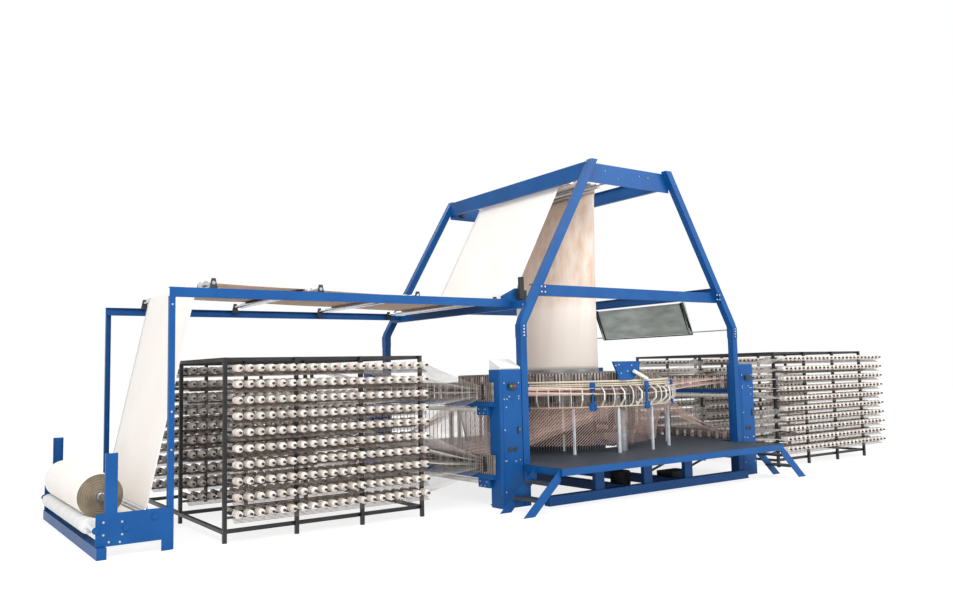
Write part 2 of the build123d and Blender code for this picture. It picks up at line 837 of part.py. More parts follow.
# Creels: posts, floor and top rails of three racks, and the ties between the racks
rack_ys = (-creel_y, 0, creel_y)
rack_faces = (1, 1, -1)
half_post = creel_post / 2
tie_gap = half_post + weld_gap
with BuildPart() as creel_frames:
    for name, side in sides.items():
        post_xs = [side * (creel_inner_x[name] + k * creel_pitch_x[name]) for k in range(creel_posts)]
        x0 = min(post_xs) - half_post
        x1 = max(post_xs) + half_post
        for y, face in zip(rack_ys, rack_faces):
            for x in post_xs:
                bar(x - half_post, x + half_post, y - half_post, y + half_post, 0, creel_h)
            for z in (creel_rail_z, creel_h - creel_post):
                rail_y = y + face * tie_gap
                bar(x0, x1, rail_y, rail_y + face * creel_post, z, z + creel_post)
        for x in (post_xs[0], post_xs[-1]):
            for z in (creel_rail_z, creel_h - creel_post):
                bar(x - half_post, x + half_post, -creel_y + tie_gap + creel_post + weld_gap, -tie_gap,
                    z, z + creel_post)
                bar(x - half_post, x + half_post, tie_gap + creel_post + weld_gap,
                    creel_y - tie_gap - creel_post - weld_gap, z, z + creel_post)
save(creel_frames, "creel_frames")


def rack_face(name, side, y, face):
    """Plane on one face of a rack, in the middle of its rows of bobbins."""
    middle_x = side * (creel_inner_x[name] - half_post + bobbin_cols[name] * bobbin_pitch / 2)
    middle_z = bobbin_z + (bobbin_rows - 1) * bobbin_row_pitch / 2
    return Plane(origin=(middle_x, y, middle_z), x_dir=(1, 0, 0), z_dir=(0, face, 0))


near_rows = {}
for name, side in sides.items():
    cols = bobbin_cols[name]
    row_x = side * (creel_inner_x[name] - half_post + cols * bobbin_pitch / 2)
    with BuildPart() as near_rows[name]:
        with BuildSketch(Plane.XY.offset(bobbin_z - bobbin_r)):
            with Locations((row_x, -creel_y - half_post - bobbin_rail / 2)):
                Rectangle(cols * bobbin_pitch, bobbin_rail)
            with Locations((row_x, -creel_y - half_post - bobbin_rail - bobbin_len / 2)):
                with GridLocations(bobbin_pitch, 0, cols, 1):
                    Rectangle(2 * bobbin_r, bobbin_len)
        extrude(amount=2 * bobbin_r)
with BuildPart() as rows_near:
    with Locations(*((0, 0, k * bobbin_row_pitch) for k in range(bobbin_rows))):
        for one_row in near_rows.values():
            add(one_row.part)
save(rows_near, "bobbin_rows_near")

inner_faces = ((half_post - creel_y, 1), (-half_post, -1), (half_post, 1), (creel_y - half_post, -1),
               (creel_y + half_post, 1))
with BuildPart() as rows_inner:
    for name, side in sides.items():
        for y, face in inner_faces:
            with BuildSketch(rack_face(name, side, y, face)):
                with GridLocations(0, bobbin_row_pitch, 1, bobbin_rows):
                    Rectangle(bobbin_cols[name] * bobbin_pitch, 2 * bobbin_r)
            extrude(amount=bobbin_len + bobbin_rail)
save(rows_inner, "bobbin_rows_inner")

# Warp tapes in flat bands: from the creels' rows to the inlet combs, and from there to the head
half_rows = bobbin_rows // 2
comb_foot = inlet_bar + tread_t + tape_t
comb_share = (inlet_comb_h - 2 * tread_t) / (half_rows + 1)
inlet_zs = (inlet_lower_z, inlet_upper_z)


def tape_band(x0, y0, z0, w0, x1, y1, z1, w1):
    """A flat band of tapes between two lines along Y."""
    length = math.hypot(x1 - x0, z1 - z0)
    inset = math.copysign(weld_gap + tape_t / 2 * abs(z1 - z0) / length, x1 - x0)
    x0 += inset
    x1 -= inset
    length = math.hypot(x1 - x0, z1 - z0)
    band_plane = Plane(origin=(x0, 0, z0), x_dir=(0, 1, 0), z_dir=(z1 - z0, 0, x0 - x1))
    with BuildSketch(band_plane) as profile:
        Polygon((y0 - w0 / 2, 0), (y0 + w0 / 2, 0), (y1 + w1 / 2, length), (y1 - w1 / 2, length), align=None)
    extrude(profile.sketch, amount=tape_t / 2, both=True)


with BuildPart() as warp_tapes:
    for name, side in sides.items():
        start_x = side * (creel_inner_x[name] - half_post)
        for k in range(bobbin_rows):
            comb_z = inlet_zs[k // half_rows] + comb_foot + (k % half_rows + 1) * comb_share
            for y in rack_ys:
                tape_band(start_x, y, bobbin_z + k * bobbin_row_pitch, 2 * bobbin_len,
                          side * (comb_x + inlet_comb_t), y * comb_spread, comb_z, comb_band_w)
        for k, z in enumerate(head_tape_zs):
            comb_z = inlet_zs[k // 2] + comb_foot + comb_share * (3 + 2 * (k % 2))
            for angle in head_tape_angles:
                turn = math.radians(angle)
                tape_band(side * comb_x, angle * head_tape_fan, comb_z, head_tape_w,
                          side * head_tape_r * math.cos(turn), head_tape_r * math.sin(turn), z, head_tape_w)
save(warp_tapes, "warp_tapes")

# Bridge: two channels from the gantry to a pair of channel posts at the winder
bridge_under_z = bridge_top_z - bridge_h
with BuildPart() as bridge_frame:
    for end in ends.values():
        channel((-portal_x, end * bridge_y, bridge_top_z - bridge_h / 2), (1, 0, 0), (0, -end, 0),
                portal_x - cross_left_x, bridge_h, bridge_flange, bridge_wall)
        channel((-portal_x + portal_w / 2, end * bridge_y, 0), (0, 0, 1), (0, -end, 0),
                bridge_under_z - weld_gap, portal_w, bridge_flange, bridge_wall)
save(bridge_frame, "bridge_frame")

# The fabric's path: x and z of each roller, radius to the fabric's middle, and +1 where the
# roller lies to the left of the moving fabric
half_t = run_gap + fabric_t / 2
tube_x = top_roller_right_x + top_roller_r + half_t
tube_z1 = top_roller_z - top_roller_r - 20
turns = ((tube_x, tube_z1, 0, 1),
         (top_roller_right_x, top_roller_z, top_roller_r + half_t, 1),
         (top_roller_left_x, top_roller_z, top_roller_r + half_t, 1),
         (nip_x, nip_z, nip_r + half_t, -1),
         (end_roller_x, end_roller_z, end_roller_r + half_t, 1),
         (low_guide_x, low_guide_z, low_guide_r + half_t, -1),
         (drum_x + drum_half, drum_z, drum_r + half_t, 1))


def run_angle(a, b):
    """Direction of the straight run of fabric from one roller to the next."""
    dx = b[0] - a[0]
    dz = b[1] - a[1]
    return math.atan2(dz, dx) - math.asin((b[3] * b[2] - a[3] * a[2]) / math.hypot(dx, dz))


def beside(turn, angle, offset):
    """Point of the fabric at a roller for a direction of travel, offset to its left."""
    reach = turn[3] * turn[2] - offset
    return (turn[0] + math.sin(angle) * reach, turn[1] - math.cos(angle) * reach)


run_angles = [run_angle(a, b) for a, b in zip(turns, turns[1:])]
run_angles.append(math.radians(drum_end_angle + 90))


def fabric_face(offset):
    """Start, end, middle and end of arc of each run of one face of the fabric."""
    runs = []
    here = beside(turns[0], run_angles[0], offset)
    for k in range(1, len(turns)):
        reached = beside(turns[k], run_angles[k - 1], offset)
        turned = (run_angles[k] - run_angles[k - 1] + math.pi) % (2 * math.pi) - math.pi
        middle = beside(turns[k], run_angles[k - 1] + turned / 2, offset)
        left = beside(turns[k], run_angles[k - 1] + turned, offset)
        runs.append((here, reached, middle, left))
        here = left
    return runs


def bridge_fabric_z(x):
    """Height of the fabric's middle over the bridge."""
    start = beside(turns[3], run_angles[3], 0)
    return start[1] + (x - start[0]) * math.tan(run_angles[3])


with BuildPart() as fabric_web:
    with BuildSketch(upright_plane(fabric_w / 2)):
        with BuildLine():
            faces = (fabric_face(fabric_t / 2), fabric_face(-fabric_t / 2))
            for runs in faces:
                for here, reached, middle, left in runs:
                    Line(here, reached)
                    ThreePointArc(reached, middle, left)
            Line(faces[0][0][0], faces[1][0][0])
            Line(faces[0][-1][3], faces[1][-1][3])
        make_face()
    extrude(amount=fabric_w)
save(fabric_web, "fabric_web")

# Tube of fabric: round at the weaving ring, flat at the first top roller
tube_z0 = weave_ring_z + weave_ring_h
tube_rings = []
for k in range(tube_steps + 1):
    share = k / tube_steps
    half_x = max(weave_ring_r * (1 - share) ** tube_swell, fabric_t / 2)
    half_y = weave_ring_r + (fabric_w / 2 - weave_ring_r) * share
    z = tube_z0 + (tube_z1 - tube_z0) * share
    tube_rings.append([(tube_x * share + half_x * math.cos(2 * math.pi * j / tube_sides),
                        half_y * math.sin(2 * math.pi * j / tube_sides), z) for j in range(tube_sides)])
tube_faces = [Face(Wire.make_polygon(tube_rings[0])), Face(Wire.make_polygon(tube_rings[-1]))]
for low, high in zip(tube_rings, tube_rings[1:]):
    for j in range(tube_sides):
        a = j - 1
        tube_faces.append(Face(Wire.make_polygon((low[a], low[j], high[j]))))
        tube_faces.append(Face(Wire.make_polygon((low[a], high[j], high[a]))))
with BuildPart() as fabric_tube:
    add(Solid(Shell(tube_faces)))
save(fabric_tube, "fabric_tube")

# Rollers: each a face between two journals
bridge_inner_y = bridge_y - bridge_flange
top_inner_y = leg_inner_y - top_plate_t
nip_pitch = 2 * nip_r + 2 * half_t
nip_right_x = nip_x - nip_pitch * math.sin(run_angles[2])
nip_right_z = nip_z + nip_pitch * math.cos(run_angles[2])
bridge_rollers = [(f"bridge_roller_{k + 1}", x, bridge_fabric_z(x) - half_t - bridge_roller_r, bridge_roller_r)
                  for k, x in enumerate(bridge_roller_xs)]
bridge_rollers.append(("end_roller", end_roller_x, end_roller_z, end_roller_r))
rollers = [("top_roller_right", top_roller_right_x, top_roller_z, top_roller_r, top_inner_y - 1),
           ("top_roller_left", top_roller_left_x, top_roller_z, top_roller_r, top_inner_y - 1),
           ("nip_roller_left", nip_x, nip_z, nip_r, nip_side_y + nip_side_t - 1),
           ("nip_roller_right", nip_right_x, nip_right_z, nip_r, nip_side_y + nip_side_t - 1),
           ("low_guide_roller", low_guide_x, low_guide_z, low_guide_r, winder_y - 1),
           ("drum_front", drum_x + drum_half, drum_z, drum_r, winder_y - 1),
           ("drum_rear", drum_x - drum_half, drum_z, drum_r, winder_y - 1)]
rollers += [(name, x, z, radius, bridge_inner_y - 1) for name, x, z, radius in bridge_rollers]
for name, x, z, radius, journal_y in rollers:
    with BuildPart() as roller:
        axle(x, z, radius, -roller_len / 2, roller_len / 2)
        axle(x, z, journal_r, -journal_y, journal_y, bore_sides)
    save(roller, name)


def bored_block(x, z, y0, y1):
    """A bearing block along Y, narrow at its top, with its bore."""
    with BuildSketch(upright_plane(y1)) as profile:
        with BuildLine():
            Polyline((x - bearing_w / 2, z - block_foot_h), (x + bearing_w / 2, z - block_foot_h),
                     (x + block_top_w / 2, z + block_top_h), (x - block_top_w / 2, z + block_top_h), close=True)
        make_face()
        with Locations((x, z)):
            round_bore(journal_r, bore_sides)
    extrude(profile.sketch, amount=y1 - y0)


# Bearing blocks of the top and bridge rollers
with BuildPart() as roller_bearings:
    for end in ends.values():
        for name, x, z, radius, journal_y in rollers[:2]:
            face_ys = sorted((end * top_inner_y, end * (top_inner_y - bearing_t)))
            bored_block(x, z, face_ys[0], face_ys[1])
        for name, x, z, radius in bridge_rollers:
            face_ys = sorted((end * bridge_inner_y, end * (bridge_inner_y - bearing_t)))
            bored_block(x, z, face_ys[0], face_ys[1])
save(roller_bearings, "roller_bearings")

# The two side plates of the nip, on the left cross channel
nip_base_z = cross_left_z + cross_left_h
with BuildPart() as nip_plates:
    for end in ends.values():
        with BuildSketch(upright_plane(max(end * nip_side_y, end * (nip_side_y + nip_side_t)))):
            with BuildLine():
                Polyline((-cross_left_x, nip_base_z), (-cross_left_x + tie_flange, nip_base_z),
                         (nip_x - nip_r, nip_z - bearing_w), (nip_right_x, nip_right_z - bearing_w / 2),
                         (nip_right_x + bearing_w / 2, nip_right_z), (nip_x + bearing_w / 2, nip_z + bearing_w),
                         (nip_x - nip_r, nip_z + bearing_w),
                         (-cross_left_x, nip_base_z + bearing_w), close=True)
            make_face()
            with Locations((nip_x, nip_z), (nip_right_x, nip_right_z)):
                round_bore(journal_r, bore_sides)
        extrude(amount=nip_side_t)
save(nip_plates, "nip_plates")

# Winder: side plates, lift guides above them, a floor channel and a cross bar
plate_bores = ((drum_x - drum_half, drum_z), (drum_x + drum_half, drum_z), (low_guide_x, low_guide_z))
with BuildPart() as winder_frame:
    for end in ends.values():
        with BuildSketch(upright_plane(max(end * winder_y, end * (winder_y - winder_plate_t)))):
            with BuildLine():
                Polyline((winder_left_x, winder_z0), (winder_foot_x - winder_foot_w, winder_z0),
                         (winder_foot_x - winder_foot_w, 0), (winder_foot_x, 0),
                         (winder_foot_x, winder_z1), (winder_left_x, winder_z1), close=True)
            make_face()
            with Locations(*plate_bores):
                round_bore(journal_r, bore_sides)
        extrude(amount=winder_plate_t)
        channel((drum_x, end * winder_y, winder_z1 + weld_gap), (0, 0, 1), (0, -end, 0),
                lift_top_z - winder_z1, lift_w, lift_d, lift_wall)
    cross_y = winder_y - winder_plate_t - weld_gap
    bar(winder_left_x, winder_left_x + winder_end_x, -winder_y - winder_end_y, winder_y + winder_end_y,
        0, winder_z0 - weld_gap)
    bar(winder_foot_x - winder_foot_w, winder_foot_x - winder_foot_w + winder_bar, -cross_y, cross_y,
        winder_bar_z, winder_bar_z + winder_bar)
save(winder_frame, "winder_frame")

# Roll of fabric on its shaft, whose square blocks slide up the lift guides
roll_z = drum_z + math.sqrt((drum_r + roll_r + slide_gap) ** 2 - drum_half ** 2)
block_w = lift_w - 2 * lift_wall - 2 * slide_gap
block_y = winder_y - lift_wall - slide_gap
with BuildPart() as roll_shaft:
    axle(drum_x, roll_z, roll_shaft_r, -(winder_y - lift_d), winder_y - lift_d, bore_sides)
    for end in ends.values():
        bar(drum_x - block_w / 2, drum_x + block_w / 2, end * (winder_y - lift_d), end * block_y,
            roll_z - block_w / 2, roll_z + block_w / 2)
save(roll_shaft, "roll_shaft")

with BuildPart() as fabric_roll:
    for radius, half, sides_count in ((roll_r, fabric_w / 2, head_sides), (roll_core_r, roll_core_half, bore_sides)):
        with BuildSketch(upright_plane(half)):
            with Locations((drum_x, roll_z)):
                round_bar(radius, sides_count)
                round_bore(roll_shaft_r, bore_sides)
        extrude(amount=2 * half)
save(fabric_roll, "fabric_roll")

# Inspection light: a tilted panel along Y with two end frames and rods from the right posts
with BuildPart() as light_panel:
    for y0, y1, inset in ((panel_y0, panel_y1, 0),
                          (panel_y0 - panel_end_w, panel_y0 - weld_gap, panel_end_out),
                          (panel_y1 + weld_gap, panel_y1 + panel_end_w, panel_end_out)):
        with BuildSketch(upright_plane(y1)):
            with BuildLine():
                Polyline((panel_top_x - panel_t, panel_top_z + inset), (panel_top_x + inset, panel_top_z + inset),
                         (panel_foot_x + inset, panel_foot_z - inset),
                         (panel_foot_x - panel_t - inset, panel_foot_z - inset), close=True)
            make_face()
        extrude(amount=y1 - y0)
    rod_end = leg_inner_y - splice_t
    for y0, y1 in ((-rod_end, panel_y0 - panel_end_w - weld_gap), (panel_y1 + panel_end_w + weld_gap, rod_end)):
        bar(post_x, post_x + panel_rod, y0, y1, panel_rod_z, panel_rod_z + panel_rod)
save(light_panel, "light_panel")
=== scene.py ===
import math

import bpy
from mathutils import Matrix, Vector


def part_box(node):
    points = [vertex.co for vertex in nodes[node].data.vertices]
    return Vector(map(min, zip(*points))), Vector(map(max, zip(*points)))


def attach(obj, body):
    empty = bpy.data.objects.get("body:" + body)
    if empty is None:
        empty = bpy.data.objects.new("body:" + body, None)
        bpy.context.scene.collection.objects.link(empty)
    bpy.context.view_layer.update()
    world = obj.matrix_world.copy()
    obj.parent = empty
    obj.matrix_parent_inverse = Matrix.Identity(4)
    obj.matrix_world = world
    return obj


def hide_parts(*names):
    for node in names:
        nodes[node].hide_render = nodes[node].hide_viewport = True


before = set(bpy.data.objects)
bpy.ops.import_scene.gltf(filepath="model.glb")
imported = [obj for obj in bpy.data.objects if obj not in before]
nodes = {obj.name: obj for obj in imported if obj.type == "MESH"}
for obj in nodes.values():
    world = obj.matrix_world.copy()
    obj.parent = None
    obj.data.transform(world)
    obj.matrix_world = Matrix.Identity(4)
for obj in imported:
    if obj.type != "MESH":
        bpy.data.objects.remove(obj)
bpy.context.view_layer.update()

# Studio: a pale floor that keeps the shadow, three soft lamps and the camera.
# The camera stands where a person would, at eye height before the near left corner.
# Lengths are in metres and lamp powers in watts, in this section and all that follow.
bpy.context.scene.view_settings.view_transform = "Standard"
eye = Vector((-8.849, -10.322, 1.700))
eye_right = Vector((0.81706, -0.57609, -0.02310))
eye_up = Vector((-0.03283, -0.08649, 0.99571))
photo_width = 953
photo_focal = 849.38
camera_data = bpy.data.cameras.new("camera")
camera_data.sensor_width = 36
camera_data.lens = photo_focal / photo_width * camera_data.sensor_width
camera_data.clip_end = 200
camera = bpy.data.objects.new("camera", camera_data)
eye_back = eye_right.cross(eye_up)
camera.matrix_world = Matrix((
    (eye_right.x, eye_up.x, eye_back.x, eye.x),
    (eye_right.y, eye_up.y, eye_back.y, eye.y),
    (eye_right.z, eye_up.z, eye_back.z, eye.z),
    (0, 0, 0, 1)))
bpy.context.collection.objects.link(camera)
bpy.context.scene.camera = camera

world = bpy.data.worlds.new("studio")
bpy.context.scene.world = world
world.use_nodes = True
sky = world.node_tree
background = sky.nodes["Background"]
background.inputs["Color"].default_value = (1, 1, 1, 1)
rays = sky.nodes.new("ShaderNodeLightPath")
seen = sky.nodes.new("ShaderNodeMapRange")
seen.inputs["To Min"].default_value = 0.80
seen.inputs["To Max"].default_value = 1.0


def maths(tree, operation, *values):
    """The result of a math node on linked outputs or plain numbers."""
    node = tree.nodes.new("ShaderNodeMath")
    node.operation = operation
    for value, socket in zip(values, node.inputs):
        if isinstance(value, bpy.types.NodeSocket):
            tree.links.new(value, socket)
        else:
            socket.default_value = value
    return node.outputs["Value"]


def looked_at(tree, light_path):
    """One for what the camera, a reflection or a transmission sees, and nought for other light."""
    either = maths(tree, "MAXIMUM", light_path.outputs["Is Camera Ray"], light_path.outputs["Is Glossy Ray"])
    return maths(tree, "MAXIMUM", either, light_path.outputs["Is Transmission Ray"])


sky.links.new(looked_at(sky, rays), seen.inputs["Value"])
sky.links.new(seen.outputs["Result"], background.inputs["Strength"])

bpy.ops.object.select_all(action="DESELECT")
bpy.ops.mesh.primitive_plane_add(size=80, location=(0, 0, -0.002))
floor = bpy.context.object
floor.name = "floor"
floor_paint = bpy.data.materials.new("floor_paint")
floor_paint.use_nodes = True
floor_nodes = floor_paint.node_tree
floor_shader = floor_nodes.nodes["Principled BSDF"]
floor_shader.inputs["Base Color"].default_value = (0.9, 0.9, 0.9, 1)
floor_shader.inputs["Roughness"].default_value = 0.9
floor_glow = floor_nodes.nodes.new("ShaderNodeEmission")
floor_glow.inputs["Strength"].default_value = 1.15
floor_mix = floor_nodes.nodes.new("ShaderNodeMixShader")
floor_rays = floor_nodes.nodes.new("ShaderNodeLightPath")
floor_share = maths(floor_nodes, "MULTIPLY", looked_at(floor_nodes, floor_rays), 0.7)
floor_nodes.links.new(floor_share, floor_mix.inputs["Fac"])
floor_nodes.links.new(floor_shader.outputs["BSDF"], floor_mix.inputs[1])
floor_nodes.links.new(floor_glow.outputs["Emission"], floor_mix.inputs[2])
floor_nodes.links.new(floor_mix.outputs["Shader"], floor_nodes.nodes["Material Output"].inputs["Surface"])
floor.data.materials.append(floor_paint)

lamps_aim_at = Vector((-1, 0, 1))
for place, size, power in (((-9, -9, 9), 7, 1000), ((5, -10, 8), 7, 750), ((2, 9, 9), 8, 500)):
    lamp_data = bpy.data.lights.new("soft_lamp", "AREA")
    lamp_data.size = size
    lamp_data.energy = power
    lamp = bpy.data.objects.new("soft_lamp", lamp_data)
    lamp.location = place
    lamp.rotation_euler = (lamps_aim_at - Vector(place)).to_track_quat("-Z", "Y").to_euler()
    bpy.context.collection.objects.link(lamp)


# Columns: folded sheet steel, sprayed blue, with a screwed door on the outer face.
# Each door has its screws, a pair of cable grommets near the foot and a turn lock.
def raised(material, height, strength, distance):
    """Turns a height into relief on a finish."""
    tree = material.node_tree
    relief = tree.nodes.new("ShaderNodeBump")
    relief.inputs["Strength"].default_value = strength
    relief.inputs["Distance"].default_value = distance
    tree.links.new(height, relief.inputs["Height"])
    tree.links.new(relief.outputs["Normal"], tree.nodes["Principled BSDF"].inputs["Normal"])
    return relief


def mottled(name, colour, second, scale=3.0, rough=(0.35, 0.5), metallic=0.0, bump=0.0, bump_scale=60.0,
            stretch=(1, 1, 1)):
    """A finish whose colour and gloss vary softly over the surface, with a fine grain in relief."""
    material = bpy.data.materials.new(name)
    material.use_nodes = True
    tree = material.node_tree
    shader = tree.nodes["Principled BSDF"]
    shader.inputs["Metallic"].default_value = metallic
    place = tree.nodes.new("ShaderNodeTexCoord")
    mapping = tree.nodes.new("ShaderNodeMapping")
    mapping.inputs["Scale"].default_value = stretch
    noise = tree.nodes.new("ShaderNodeTexNoise")
    noise.inputs["Scale"].default_value = scale
    noise.inputs["Detail"].default_value = 5
    ramp = tree.nodes.new("ShaderNodeValToRGB")
    ramp.color_ramp.elements[0].position = 0.35
    ramp.color_ramp.elements[0].color = (*colour, 1)
    ramp.color_ramp.elements[1].position = 0.7
    ramp.color_ramp.elements[1].color = (*second, 1)
    gloss = tree.nodes.new("ShaderNodeMapRange")
    gloss.inputs["To Min"].default_value = rough[0]
    gloss.inputs["To Max"].default_value = rough[1]
    tree.links.new(place.outputs["Object"], mapping.inputs["Vector"])
    tree.links.new(mapping.outputs["Vector"], noise.inputs["Vector"])
    tree.links.new(noise.outputs["Fac"], ramp.inputs["Fac"])
    tree.links.new(ramp.outputs["Color"], shader.inputs["Base Color"])
    tree.links.new(noise.outputs["Fac"], gloss.inputs["Value"])
    tree.links.new(gloss.outputs["Result"], shader.inputs["Roughness"])
    if bump:
        grain = tree.nodes.new("ShaderNodeTexNoise")
        grain.inputs["Scale"].default_value = bump_scale
        tree.links.new(mapping.outputs["Vector"], grain.inputs["Vector"])
        raised(material, grain.outputs["Fac"], bump, 0.002)
    return material


def dress(material, *names):
    """Gives CAD nodes their finish."""
    for name in names:
        for material_slot in nodes[name].material_slots:
            material_slot.material = material


def pick(piece):
    """Selects one piece alone and makes it the active one."""
    bpy.ops.object.select_all(action="DESELECT")
    piece.select_set(True)
    bpy.context.view_layer.objects.active = piece


def settle(piece):
    """Fixes a piece's place, turn and size in its mesh."""
    pick(piece)
    bpy.ops.object.transform_apply(location=True, rotation=True, scale=True)


def seat(piece, name, material, body="frame"):
    """Names a finished piece, fixes its place in its mesh and fastens it to its body."""
    piece.name = name
    piece.data.name = name
    settle(piece)
    piece.data.materials.clear()
    piece.data.materials.append(material)
    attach(piece, body)
    return piece


def rounded(piece, width, segments=1):
    """Breaks the sharp edges of a piece."""
    pick(piece)
    bevel = piece.modifiers.new("edges", "BEVEL")
    bevel.width = width
    bevel.segments = segments
    bpy.ops.object.modifier_apply(modifier=bevel.name)


def block(low, high, bevel=0.002):
    """A rounded bar between two corners."""
    middle = (Vector(low) + Vector(high)) / 2
    size = Vector(high) - Vector(low)
    bpy.ops.mesh.primitive_cube_add(size=1, location=middle)
    piece = bpy.context.object
    piece.scale = [abs(value) for value in size]
    settle(piece)
    rounded(piece, bevel)
    return piece


def stud(radius, height, sides=6, turn=(math.pi / 2, 0, 0)):
    """A bolt head or button at the origin, on its side so that it faces -Y."""
    bpy.ops.mesh.primitive_cylinder_add(vertices=sides, radius=radius, depth=height, rotation=turn)
    piece = bpy.context.object
    settle(piece)
    rounded(piece, min(radius, height) * 0.2)
    return piece


def joined(pieces):
    """Joins pieces to one and returns it."""
    bpy.ops.object.select_all(action="DESELECT")
    for piece in pieces:
        piece.select_set(True)
    bpy.context.view_layer.objects.active = pieces[0]
    bpy.ops.object.join()
    return bpy.context.object


def copies(original, places):
    """Copies a piece to each place, a point or a matrix, and joins them; the original goes."""
    made = []
    for place in places:
        copy = original.copy()
        copy.data = original.data.copy()
        moved = place if isinstance(place, Matrix) else Matrix.Translation(place)
        copy.data.transform(moved)
        bpy.context.collection.objects.link(copy)
        made.append(copy)
    bpy.data.objects.remove(original)
    return joined(made)


machine_blue = mottled("machine_blue", (0.003, 0.064, 0.230), (0.005, 0.082, 0.275), 2.5, (0.36, 0.49),
                       bump=0.15, bump_scale=220)
machine_blue.node_tree.nodes["Principled BSDF"].inputs["Specular IOR Level"].default_value = 0.22
zinc = mottled("zinc_plate", (0.62, 0.63, 0.65), (0.45, 0.46, 0.48), 40, (0.3, 0.5), 0.9)
black_plastic = mottled("black_plastic", (0.012, 0.012, 0.014), (0.03, 0.03, 0.032), 30, (0.35, 0.55))
dress(machine_blue, "columns")
column_low, column_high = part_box("columns")
column_middle = (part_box("gantry_posts")[1].x + column_high.x) / 2
door_screw_x = 0.115
door_screw_heights = (0.20, 0.58, 0.96, 1.34, 1.54)
grommet_x = 0.04
grommet_height = 0.72
lock_x = 0.095
lock_height = 0.95
sheet_screws = ((-0.035, 1.37), (0.115, 1.37), (-0.075, 1.34), (-0.085, 1.24), (-0.095, 0.58), (0.045, 0.57))
screw_places = []
grommet_places = []
for side in (-1, 1):
    for end, face in ((-1, column_low.y), (1, column_high.y)):
        for z in door_screw_heights:
            for x in (-door_screw_x, door_screw_x):
                screw_places.append((side * column_middle + x, face + end * 0.003, z))
        for x in (-grommet_x, grommet_x):
            grommet_places.append((side * column_middle + x, face + end * 0.004, grommet_height))
for x, z in sheet_screws:
    for side in (-1, 1):
        screw_places.append((side * (column_middle - x), column_low.y - 0.003, z))
seat(copies(stud(0.010, 0.008), screw_places), "door_screws", zinc)
seat(copies(stud(0.030, 0.012, 24), grommet_places), "cable_grommets", black_plastic)
lock_places = [(side * column_middle + lock_x, face, lock_height) for side in (-1, 1)
               for face in (column_low.y - 0.005, column_high.y + 0.005)]
turn_lock = block((-0.012, -0.012, -0.045), (0.012, 0.012, 0.045), 0.004)
seat(copies(turn_lock, lock_places), "door_locks", black_plastic)

# Gantry: bent square tube in the same blue, bolted through a splice plate at each post.
# The ties and cross channels are folded channels with bolted ends.
dress(machine_blue, "gantry_posts", "gantry_legs", "gantry_channels", "top_frame", "base_frame",
      "deck_frame", "steps", "bridge_frame", "winder_frame", "warp_inlets", "ring_brackets", "nip_plates")
post_x = 2.10
splice_heights = (2.14, 2.18, 2.22, 2.26)
tie_bolt_spots = ((1.72, 2.71), (1.78, 2.71), (1.72, 2.78), (1.78, 2.78))
leg_low, leg_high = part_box("gantry_legs")
splice_places = []
for side in (-1, 1):
    for end, face in ((-1, leg_low.y), (1, leg_high.y)):
        for z in splice_heights:
            splice_places.append((side * post_x, face + end * 0.004, z))
seat(copies(stud(0.014, 0.012), splice_places), "splice_bolts", zinc)
tie_bolts = [(side * x, end * (leg_high.y - 0.005), z) for side in (-1, 1) for end in (-1, 1)
             for x, z in tie_bolt_spots]
seat(copies(stud(0.013, 0.012), tie_bolts), "tie_bolts", zinc)

# Deck: chequered steel plate, dark and worn, on a blue frame with steps at its four ends.
# The raised lozenges stand in two crossing directions.
# Slanting flat bars below the deck's edges brace its frame.
tread_steel = mottled("tread_steel", (0.018, 0.026, 0.040), (0.034, 0.048, 0.068), 4, (0.45, 0.7), 0.2)
tread_tree = tread_steel.node_tree
tread_place = tread_tree.nodes.new("ShaderNodeTexCoord")
lozenges = []
for turn in (math.pi / 4, -math.pi / 4):
    tread_mapping = tread_tree.nodes.new("ShaderNodeMapping")
    tread_mapping.inputs["Rotation"].default_value = (0, 0, turn)
    tread_mapping.inputs["Scale"].default_value = (30, 90, 1)
    cells = tread_tree.nodes.new("ShaderNodeTexVoronoi")
    cells.inputs["Randomness"].default_value = 0
    cells.inputs["Scale"].default_value = 1
    tread_tree.links.new(tread_place.outputs["Object"], tread_mapping.inputs["Vector"])
    tread_tree.links.new(tread_mapping.outputs["Vector"], cells.inputs["Vector"])
    lozenges.append(cells.outputs["Distance"])
tread_relief = raised(tread_steel, maths(tread_tree, "MINIMUM", *lozenges), 0.7, 0.004)
tread_relief.invert = True
dress(tread_steel, "deck_plates", "step_treads")
cast_dark = mottled("cast_dark", (0.020, 0.021, 0.023), (0.045, 0.046, 0.05), 6, (0.5, 0.7), 0.3, 0.3, 120)
brace_length = 0.46
brace_slant = -0.28
brace_y = 2.0
brace_foot_z = 0.28
brace = block((0, -0.015, -0.012), (brace_length, 0.015, 0.012), 0.002)
brace_places = [Matrix.Translation((x, end * brace_y, brace_foot_z)) @ Matrix.Rotation(brace_slant, 4, "Y")
                for x in (-0.08, 0.74) for end in (-1, 1)]
seat(copies(brace, brace_places), "deck_braces", cast_dark)

